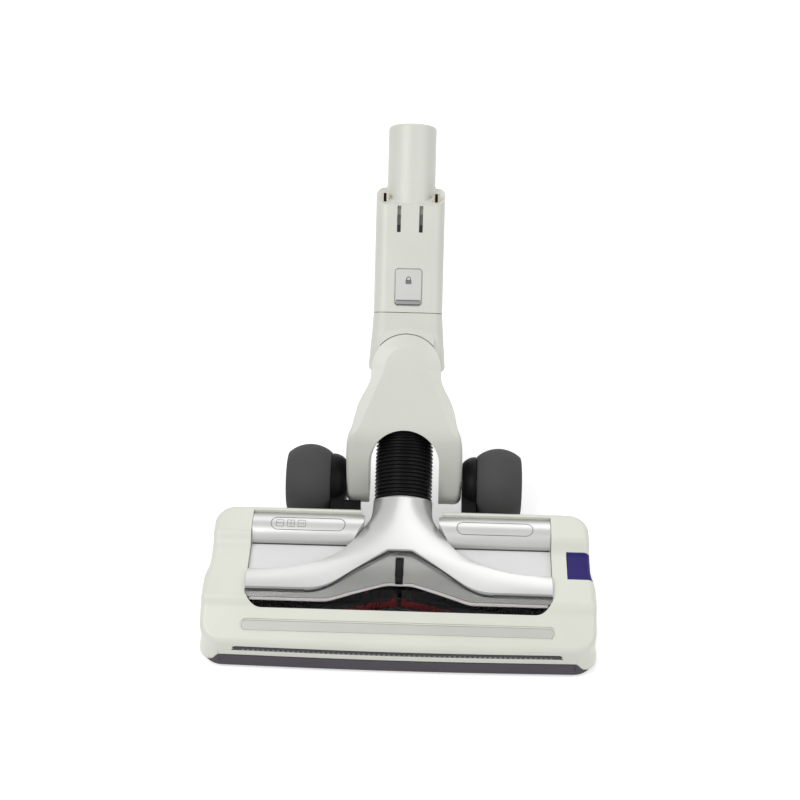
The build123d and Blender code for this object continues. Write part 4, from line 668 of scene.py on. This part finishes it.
# Smoked light bar over the front slot, with a row of small lens domes
BAR_HALF = 108.6
BAR_SLANT = 3.2
BAR_LOW = 19.6
BAR_HIGH = 24.0
BAR_PROUD = 0.25
BAR_COLUMNS = 90
BAR_ROWS = [(0.0, -0.5), (0.0, 0.0), (0.08, 1.0), (0.5, 1.0), (0.92, 1.0), (1.0, 0.0), (1.0, -0.5)]
BAR_BELOW = (0.6, 0.3)
DOME_COUNT = 62
DOME_RADIUS = 0.95
DOME_RISE = 0.35
DOME_LEVEL = 20.9
DOME_RINGS = [(1.0, -0.1), (0.9, 0.5), (0.55, 0.9)]
DOME_AROUND = 12
RAY_FRONT = -200.0


def fascia(surface, x, z):
    """Place of the housing's front face, measured from the axle."""
    hit = surface.ray_cast(head_point(x, RAY_FRONT, z), Y_AXIS)[0]
    return (hit.y - AXLE.y) / MM


def add_dome(points, faces, x, y, z):
    """Adds a shallow round dome that faces the front."""
    first = len(points)
    for share, rise in DOME_RINGS:
        radius = DOME_RADIUS * share
        for step in range(DOME_AROUND):
            angle = 2 * pi * step / DOME_AROUND
            across = radius * cos(angle)
            points.append(head_point(x + across, y - DOME_RISE * rise, z + radius * sin(angle)))
    faces += shifted(ring_faces(len(DOME_RINGS), DOME_AROUND, False), first)
    tip = len(points)
    points.append(head_point(x, y - DOME_RISE, z))
    rim = tip - DOME_AROUND
    faces += [(rim + step, rim + (step + 1) % DOME_AROUND, tip) for step in range(DOME_AROUND)]
    faces.append(tuple(range(first, first + DOME_AROUND)))


def make_light_bar():
    """Bar with slanting ends that follows the housing's bowed front, and its domes."""
    surface = surface_of("top_frame")
    points = []
    for column in range(BAR_COLUMNS + 1):
        share = 2 * column / BAR_COLUMNS - 1
        for row, proud in BAR_ROWS:
            z = BAR_LOW + (BAR_HIGH - BAR_LOW) * row
            x = share * (BAR_HALF - BAR_SLANT * row)
            y = min(fascia(surface, x, BAR_LOW - below) for below in BAR_BELOW)
            points.append(head_point(x, y - BAR_PROUD * proud, z))
    faces = capped_faces(points, len(BAR_ROWS))
    piece("light_bar", points, faces, "head", SMOKED, smooth=False)
    dome_points = []
    dome_faces = []
    for index in range(DOME_COUNT):
        x = (2 * (index + 0.5) / DOME_COUNT - 1) * (BAR_HALF - 2 * BAR_SLANT)
        y = fascia(surface, x, BAR_LOW - BAR_BELOW[0]) - BAR_PROUD
        add_dome(dome_points, dome_faces, x, y, DOME_LEVEL)
    piece("light_domes", dome_points, dome_faces, "head", DOME)


make_light_bar()

# Flared white corners of the skirt, and the bumper's slanting shoulders beside them.
# Turns are in degrees from the front; the tables give a height and a share for a turn.
FLARE_CENTRE = (116.0, -126.0)
FLARE_TURNS = range(-12, 115, 3)
FLARE_TOP = 22.0
FLARE_OUT = 2.5
FLARE_ROWS = 9
FLARE_SKIN = -0.12
FLARE_ROOT = -0.6
FLARE_FOOT = [
    (-12, 14.6), (4, 14.5), (26, 8.4), (40, 7.6), (54, 6.6), (66, 5.2), (80, 3.6), (120, 3.4),
]
FLARE_SHARE = [(-12, 0.0), (10, 0.2), (40, 1.0), (80, 1.0), (114, 0.0)]
SHOULDER_TURNS = range(-4, 27, 2)
SHOULDER_FOOT = 7.6
SHOULDER_OUT = 0.5
CORNER_LEVEL = 14.0
CORNER_REACH = 60.0


def ease(share):
    """Share from 0 to 1 with a soft start and end."""
    return share * share * (3 - 2 * share)


def between(table, value):
    """Value read from a table of pairs, eased between its rows."""
    if value <= table[0][0]:
        return table[0][1]
    for (low, start), (high, end) in zip(table, table[1:]):
        if value <= high:
            return start + (end - start) * ease((value - low) / (high - low))
    return table[-1][1]


def corner_point(surface, side, turn, out, z):
    """Place on the skirt's corner, turned from the front, moved out from the surface."""
    away = Vector((side * sin(radians(turn)), -cos(radians(turn)), 0))
    middle = head_point(side * FLARE_CENTRE[0], FLARE_CENTRE[1], CORNER_LEVEL)
    hit = surface.ray_cast(middle + away * CORNER_REACH * MM, -away)[0]
    place = hit + away * out * MM
    place.z = z * MM
    return place


def make_corner(side, name):
    """White flare round one corner, and the dark shoulder where the bumper gets lower."""
    surface = surface_of("top_frame")
    white_points = []
    for turn in FLARE_TURNS:
        foot = between(FLARE_FOOT, turn)
        out = FLARE_OUT * between(FLARE_SHARE, turn)
        white_points.append(corner_point(surface, side, turn, FLARE_ROOT, FLARE_TOP))
        for row in range(FLARE_ROWS):
            share = row / (FLARE_ROWS - 1)
            proud = FLARE_SKIN + out * ease(share)
            z = FLARE_TOP + (foot - FLARE_TOP) * share
            white_points.append(corner_point(surface, side, turn, proud, z))
        white_points.append(corner_point(surface, side, turn, FLARE_ROOT, foot))
    white_faces = capped_faces(white_points, FLARE_ROWS + 2)
    piece(f"skirt_flare_{name}", white_points, white_faces, "head", WHITE)
    dark_points = []
    for turn in SHOULDER_TURNS:
        top = max(between(FLARE_FOOT, turn), SHOULDER_FOOT)
        section = [
            (FLARE_ROOT, SHOULDER_FOOT), (SHOULDER_OUT, SHOULDER_FOOT),
            (SHOULDER_OUT, top), (FLARE_ROOT, top),
        ]
        dark_points += [corner_point(surface, side, turn, out, z) for out, z in section]
    dark_faces = capped_faces(dark_points, len(section))
    piece(
        f"bumper_shoulder_{name}", dark_points, dark_faces,
        "head", BUMPER, smooth=False,
    )


for side, name in SIDES:
    make_corner(side, name)

# White rim round the inlay strip, and a grey line of painted shade in the groove inside it
RIM_HALF = 102.6
RIM_RADIUS = 3.75
RIM_LINE = 0.55
RIM_SINK = 0.15
RIM_STEPS = 10
RIM_RAY = 50.0
GROOVE_IN = 0.6
GROOVE_LINE = 0.24


def strip_rim(name, inward, line, material):
    """Rounded line along the edge of the strip, laid on its face."""
    surface = surface_of("front_strip")
    corners = [vertex.co for vertex in frame["nodes"]["front_strip"].data.vertices]
    middle = sum(corners, Vector()) / len(corners)
    start = middle + (Z_AXIS - Y_AXIS) * RIM_RAY * MM
    hit, facing = surface.ray_cast(start, (Y_AXIS - Z_AXIS).normalized())[:2]
    uphill = facing.cross(X_AXIS).normalized()
    radius = RIM_RADIUS - inward
    path = []
    for end in (1, -1):
        for step in range(RIM_STEPS + 1):
            angle = pi * step / RIM_STEPS - pi / 2
            x = end * (RIM_HALF - RIM_RADIUS + radius * cos(angle))
            place = Vector((x * MM, hit.y, hit.z)) + uphill * end * radius * sin(angle) * MM
            path.append(place - facing * RIM_SINK * MM)
    made_points, made_faces = tube(path, line * MM, LINE_AROUND, True)
    piece(name, made_points, made_faces, "head", material)


strip_rim("strip_rim", 0.0, RIM_LINE, WHITE)
strip_rim("strip_groove_shade", GROOVE_IN, GROOVE_LINE, GROOVE_SHADE)

# Label outlines on the motor covers, with plain floor pictograms in the left one
COVER_PLACE = -56.0
COVER_LEVEL = 36.5
COVER_RADIUS = 14.0
LABEL_TILT = radians(10)
LABEL_HEIGHT = 9.5
LABEL_LINE = 0.25
LABEL_STEPS = 14
LABELS = [("label_left", -63.4, 50.4), ("label_right", 63.5, 51.5)]
MARK_START = -85.0
MARK_SIZE = 5.0
MARK_PITCH = 7.4
MARK_LINE = 0.15
MARK_STEPS = 4
CARPET_SHARES = (0.5, 1, 1.5)


def cover_point(x, height):
    """Place on a motor cover; height is measured round the cover from the label's middle line."""
    turn = LABEL_TILT + height / COVER_RADIUS
    y = COVER_PLACE - COVER_RADIUS * sin(turn)
    return head_point(x, y, COVER_LEVEL + COVER_RADIUS * cos(turn))


def label_outline(name, middle, length):
    """Pill-shaped line on a motor cover."""
    radius = LABEL_HEIGHT / 2
    path = []
    for end in (1, -1):
        for step in range(LABEL_STEPS + 1):
            angle = pi * step / LABEL_STEPS - pi / 2
            x = middle + end * (length / 2 - radius + radius * cos(angle))
            path.append(cover_point(x, end * radius * sin(angle)))
    made_points, made_faces = tube(path, LABEL_LINE * MM, FINE_AROUND, True)
    piece(name, made_points, made_faces, "head", INK)


def line_mark(points, faces, start, end):
    """Adds one short raised line between two (x, height) places on a motor cover."""
    path = []
    for step in range(MARK_STEPS + 1):
        share = step / MARK_STEPS
        x = start[0] + (end[0] - start[0]) * share
        path.append(cover_point(x, start[1] + (end[1] - start[1]) * share))
    made_points, made_faces = tube(path, MARK_LINE * MM, FINE_AROUND, False)
    faces += shifted(made_faces, len(points))
    points += made_points


def floor_marks():
    """Three plain squares for kinds of floor: planks, tiles and carpet."""
    made_points = []
    made_faces = []
    half = MARK_SIZE / 2
    for index, kind in enumerate(("planks", "tiles", "carpet")):
        x = MARK_START + index * MARK_PITCH
        corners = [(x, -half), (x + MARK_SIZE, -half), (x + MARK_SIZE, half), (x, half)]
        lines = [(corners[step], corners[(step + 1) % 4]) for step in range(4)]
        if kind != "carpet":
            lines.append(((x, 0), (x + MARK_SIZE, 0)))
        if kind == "tiles":
            lines.append(((x + half, -half), (x + half, half)))
        if kind == "carpet":
            for share in CARPET_SHARES:
                lines.append(((x + half * share, -half / 3), (x + half * share, half / 3)))
        for start, end in lines:
            line_mark(made_points, made_faces, start, end)
    piece("floor_marks", made_points, made_faces, "head", INK)


for name, middle, length in LABELS:
    label_outline(name, middle, length)
floor_marks()

# Padlock pictogram on the lock button; depths are measured from the button's face
LOCK_FACE = -29.5
ICON_ALONG = 144.5
ICON_HALF = 2.0
ICON_TALL = 3.0
ICON_DEPTHS = (0.4, 0.13)
SHACKLE_RADIUS = 1.3
SHACKLE_RISE = 0.8
SHACKLE_FOOT = -0.2
SHACKLE_DEPTH = 0.3
SHACKLE_LINE = 0.3
SHACKLE_STEPS = 8


def lock_icon():
    """Small padlock: a body plate and a bent shackle."""
    outline = [(-ICON_HALF, -ICON_TALL), (ICON_HALF, -ICON_TALL), (ICON_HALF, 0), (-ICON_HALF, 0)]
    corners = []
    for depth in ICON_DEPTHS:
        corners += [neck_point(x, LOCK_FACE + depth, ICON_ALONG + along) for x, along in outline]
    sides = capped_faces(corners, len(outline))
    piece("lock_icon_body", corners, sides, "lock", INK, smooth=False)
    bend = [(SHACKLE_RADIUS, SHACKLE_FOOT)]
    for step in range(SHACKLE_STEPS + 1):
        angle = pi * step / SHACKLE_STEPS
        bend.append((SHACKLE_RADIUS * cos(angle), SHACKLE_RISE + SHACKLE_RADIUS * sin(angle)))
    bend.append((-SHACKLE_RADIUS, SHACKLE_FOOT))
    path = [neck_point(x, LOCK_FACE + SHACKLE_DEPTH, ICON_ALONG + along) for x, along in bend]
    made_points, made_faces = tube(path, SHACKLE_LINE * MM, LINE_AROUND, False)
    piece("lock_icon_shackle", made_points, made_faces, "lock", INK)


lock_icon()

# Dark inserts of the electric contacts
PLATE_EDGE = 0.15
PLATE_INSET = 0.97
PILL_STEPS = 4
INSERT_SIDE = 18.0
INSERT_LOW = 196.3
INSERT_HIGH = 205.4
INSERT_HALF = 0.95
INSERT_CORNER = 0.4
INSERT_FRONT = -24.55
INSERT_REAR = -21.4
INSERT_INSET = 0.82


def plate(name, outline, front, rear, body, material, inset=PLATE_INSET):
    """Plate on the neck with a bevelled front; the outline is given across and along."""
    middle_x = sum(x for x, along in outline) / len(outline)
    middle_along = sum(along for x, along in outline) / len(outline)
    made_points = []
    for depth, share in ((rear, 1.0), (front + PLATE_EDGE, 1.0), (front, inset)):
        for x, along in outline:
            there_x = middle_x + (x - middle_x) * share
            there_along = middle_along + (along - middle_along) * share
            made_points.append(neck_point(there_x, depth, there_along))
    made_faces = capped_faces(made_points, len(outline))
    piece(name, made_points, made_faces, body, material, smooth=False)


def pill(middle_x, low, high, half, corner):
    """Outline of a rounded upright bar."""
    centres = [
        (half - corner, high - corner, 0), (corner - half, high - corner, 90),
        (corner - half, low + corner, 180), (half - corner, low + corner, 270),
    ]
    outline = []
    for x, along, first in centres:
        for step in range(PILL_STEPS + 1):
            angle = radians(first + 90 * step / PILL_STEPS)
            outline.append((middle_x + x + corner * cos(angle), along + corner * sin(angle)))
    return outline


for side, name in SIDES:
    bar = pill(side * INSERT_SIDE, INSERT_LOW, INSERT_HIGH, INSERT_HALF, INSERT_CORNER)
    plate(
        f"contact_insert_{name}", bar, INSERT_FRONT, INSERT_REAR,
        "connector", DARK, inset=INSERT_INSET,
    )

# Bezel round the lock button; at the button's lower end, a dark line of painted shadow under the
# ledge and grey painted shade on the lip
LOCK_LOW = 126.6
LOCK_HIGH = 152.2
LOCK_HALF = 9.3
LOCK_CORNER = 2.2
BEZEL_DEPTH = 1.05
BEZEL_RADIUS = 0.42
KEY_LIP_HALF = 8.4
KEY_LIP_ROOT = 0.6
KEY_LINE_LOW = 129.6
KEY_LINE_HIGH = 130.5
KEY_LINE_CORNER = 0.3
KEY_LINE_PROUD = 0.08
KEY_FACE_LOW = 127.35
KEY_FACE_HIGH = 129.7
KEY_FACE_CORNER = 0.6
KEY_FACE_PROUD = 0.05
lock_outline = pill(0, LOCK_LOW, LOCK_HIGH, LOCK_HALF, LOCK_CORNER)
bezel = [neck_point(x, LOCK_FACE + BEZEL_DEPTH, along) for x, along in lock_outline]
bezel_points, bezel_faces = tube(bezel, BEZEL_RADIUS * MM, LINE_AROUND, True)
piece("lock_bezel", bezel_points, bezel_faces, "connector", TRIM)
# Painted shadow: dark line along the ledge at the top of the lip
ledge_shadow = pill(0, KEY_LINE_LOW, KEY_LINE_HIGH, KEY_LIP_HALF, KEY_LINE_CORNER)
plate(
    "lock_ledge_shadow", ledge_shadow, LOCK_FACE - KEY_LINE_PROUD, LOCK_FACE + KEY_LIP_ROOT,
    "lock", INK,
)
# Painted shade: grey over the sloping lip, which is turned away from the light
lip_shade = pill(0, KEY_FACE_LOW, KEY_FACE_HIGH, KEY_LIP_HALF, KEY_FACE_CORNER)
plate(
    "lock_lip_shade", lip_shade, LOCK_FACE - KEY_FACE_PROUD, LOCK_FACE + KEY_LIP_ROOT,
    "lock", TRIM,
)

# Painted shade in the two slits under the shoulder: dark plates, darker towards the lower end
SLIT_SIDE = 7.7
SLIT_HALF = 1.22
SLIT_CORNER = 0.3
SLIT_LOW = 177.8
SLIT_MIDDLE = 183.0
SLIT_HIGH = 190.0
SLIT_FLOOR = -26.6
SLIT_RAMP = -26.0
SLIT_ROOT = -23.5
for side, name in SIDES:
    bar = pill(side * SLIT_SIDE, SLIT_LOW, SLIT_MIDDLE, SLIT_HALF, SLIT_CORNER)
    plate(f"slit_shade_deep_{name}", bar, SLIT_FLOOR, SLIT_ROOT, "connector", SMOKED)
    bar = pill(side * SLIT_SIDE, SLIT_MIDDLE, SLIT_HIGH, SLIT_HALF, SLIT_CORNER)
    plate(f"slit_shade_fade_{name}", bar, SLIT_RAMP, SLIT_ROOT, "connector", INK)

# Skirt of the release button, inside the housing's wall
SKIRT_X = (123.6, 124.7)
SKIRT_Y = (-93.6, -73.6)
SKIRT_Z = (31.0, 41.0)
SKIRT_CORNER = 2.0


def release_skirt():
    """Rounded plate that hangs from the button and hides the gap under it."""
    middle_y = sum(SKIRT_Y) / 2
    half = (SKIRT_Y[1] - SKIRT_Y[0]) / 2
    outline = pill(0, SKIRT_Z[0], SKIRT_Z[1], half, SKIRT_CORNER)
    made_points = []
    for x in SKIRT_X:
        made_points += [head_point(x, middle_y + across, z) for across, z in outline]
    made_faces = capped_faces(made_points, len(outline))
    piece(
        "release_skirt", made_points, made_faces,
        "release", VIOLET, smooth=False,
    )


release_skirt()


# Springs that are squeezed by the buttons
def squeezed(name, node):
    """Copy of a spring between a fixed and a moving body, its axis towards the moving one."""
    mesh = frame["nodes"][node].data.copy()
    mesh.name = name
    spring = add_object(name, mesh)
    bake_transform(spring)
    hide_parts(node)


squeezed("release_coil", "release_spring")
squeezed("lock_coils", "lock_springs")

# Screws in the sole
SOLE_LEVEL = 2.8
SCREW_RADIUS = 3.0
SCREW_PROUD = 0.5
SCREW_RINGS = [(1.0, 0.0), (1.0, -0.25), (0.8, -SCREW_PROUD)]
SCREW_AROUND = 24
SCREW_PLACES = [(-118, -100), (118, -100), (-118, -55), (118, -55), (-60, -62), (60, -62)]
RECESS_POINTS = 8
RECESS_OUTER = 0.6
RECESS_INNER = 0.2
RECESS_FLOOR = -0.1


def screw(name, x, y):
    """Pan head with a cross recess, facing down."""
    made_points = []
    for share, level in SCREW_RINGS:
        radius = SCREW_RADIUS * share
        for step in range(SCREW_AROUND):
            angle = 2 * pi * step / SCREW_AROUND
            across = radius * cos(angle)
            made_points.append(head_point(x + across, y + radius * sin(angle), SOLE_LEVEL + level))
    made_faces = ring_faces(len(SCREW_RINGS), SCREW_AROUND, False)
    start = len(made_points)
    for level in (-SCREW_PROUD, RECESS_FLOOR):
        for step in range(RECESS_POINTS):
            angle = 2 * pi * step / RECESS_POINTS
            reach = SCREW_RADIUS * (RECESS_INNER if step % 2 else RECESS_OUTER)
            across = reach * cos(angle)
            made_points.append(head_point(x + across, y + reach * sin(angle), SOLE_LEVEL + level))
    made_faces += shifted(ring_faces(2, RECESS_POINTS, False), start)
    made_faces.append(tuple(range(start + RECESS_POINTS, len(made_points))))
    rim = start - SCREW_AROUND
    per = SCREW_AROUND // RECESS_POINTS
    for step in range(RECESS_POINTS):
        for part in range(per):
            here = rim + step * per + part
            after = rim + (step * per + part + 1) % SCREW_AROUND
            made_faces.append((here, after, start + step))
        corner = rim + (step + 1) * per % SCREW_AROUND
        made_faces.append((corner, start + (step + 1) % RECESS_POINTS, start + step))
    made_faces.append(tuple(range(SCREW_AROUND)))
    piece(name, made_points, made_faces, "head", STEEL, smooth=False)


for index, (x, y) in enumerate(SCREW_PLACES):
    screw(f"sole_screw_{index + 1}", x, y)

# Floor, light and camera; lamps have a place, a target, a size and a power, in metres and watts
FLOOR_SIZE = 6.0
FLOOR_COLOUR = (0.9, 0.9, 0.9)
FLOOR_SHADE = 0.985
FLOOR_NOISE = 3.0
FLOOR_ROUGHNESS = 0.8
FLOOR_GLOW = 0.45
PURE_WHITE = (1, 1, 1, 1)
SKY_STRENGTH = 0.38
SKY_SEEN = 1.0
LAMPS = [
    ("key", (-0.9, -0.7, 1.5), (0, -0.05, 0.05), 1.0, 13.5),
    ("fill", (1.1, -0.5, 1.1), (0, -0.05, 0.05), 1.2, 6.0),
    ("back", (0.2, 1.3, 1.4), (0, 0, 0.1), 1.2, 6.5),
]
CAMERA_PLACE = head_point(21.28, -668.18, 792.82)
CAMERA_TARGET = head_point(-0.1, -79.6, 193.9)
CAMERA_LENS = 63.45
SENSOR = 36.0


def seen_directly(tree, otherwise, seen):
    """Strength that differs where the camera, glossy or clear surfaces see a backdrop directly."""
    path = tree.nodes.new("ShaderNodeLightPath")
    either = tree.nodes.new("ShaderNodeMath")
    either.operation = "MAXIMUM"
    tree.links.new(path.outputs["Is Camera Ray"], either.inputs[0])
    tree.links.new(path.outputs["Is Glossy Ray"], either.inputs[1])
    any_kind = tree.nodes.new("ShaderNodeMath")
    any_kind.operation = "MAXIMUM"
    tree.links.new(either.outputs["Value"], any_kind.inputs[0])
    tree.links.new(path.outputs["Is Transmission Ray"], any_kind.inputs[1])
    strength = tree.nodes.new("ShaderNodeMapRange")
    strength.inputs["To Min"].default_value = otherwise
    strength.inputs["To Max"].default_value = seen
    tree.links.new(any_kind.outputs["Value"], strength.inputs["Value"])
    return strength.outputs["Result"]


def floor_material():
    """Pale surface that is white to the camera and keeps the object's shadow."""
    material, tree, shader, place = new_material("floor_paper")
    slow = noise(tree, place, FLOOR_NOISE)
    low = [part * FLOOR_SHADE for part in FLOOR_COLOUR]
    tree.links.new(colour_range(tree, slow, low, FLOOR_COLOUR), shader.inputs["Base Color"])
    shader.inputs["Roughness"].default_value = FLOOR_ROUGHNESS
    shader.inputs["Emission Color"].default_value = PURE_WHITE
    tree.links.new(seen_directly(tree, 0.0, FLOOR_GLOW), shader.inputs["Emission Strength"])
    return material


def add_floor():
    """Large pale floor."""
    half = FLOOR_SIZE / 2
    corners = [(-half, -half, 0), (half, -half, 0), (half, half, 0), (-half, half, 0)]
    mesh = bpy.data.meshes.new("floor")
    mesh.from_pydata(corners, [], [(0, 1, 2, 3)])
    mesh.materials.append(floor_material())
    floor = add_object("floor", mesh)


def aim(made, place, target):
    """Puts a lamp or camera at a place and turns it to a target."""
    made.location = place
    made.rotation_euler = (Vector(target) - Vector(place)).to_track_quat("-Z", "Y").to_euler()


def add_lamp(name, place, target, size, power):
    """Soft square lamp."""
    light = bpy.data.lights.new(name, "AREA")
    light.shape = "SQUARE"
    light.size = size
    light.energy = power
    aim(add_object(name, light), place, target)


def add_world():
    """Even pale sky: white where the camera, glossy or clear surfaces see it."""
    world = bpy.data.worlds.new("studio")
    bpy.context.scene.world = world
    world.use_nodes = True
    tree = world.node_tree
    sky = tree.nodes["Background"]
    sky.inputs["Color"].default_value = PURE_WHITE
    tree.links.new(seen_directly(tree, SKY_STRENGTH, SKY_SEEN), sky.inputs["Strength"])


def add_camera():
    """Camera at the photograph's view."""
    data = bpy.data.cameras.new("camera")
    data.lens = CAMERA_LENS
    data.sensor_width = SENSOR
    data.sensor_fit = "HORIZONTAL"
    camera = add_object("camera", data)
    aim(camera, CAMERA_PLACE, CAMERA_TARGET)
    bpy.context.scene.camera = camera


add_floor()
add_world()
for name, place, target, size, power in LAMPS:
    add_lamp(name, place, target, size, power)
add_camera()
bpy.context.scene.view_settings.view_transform = "Standard"
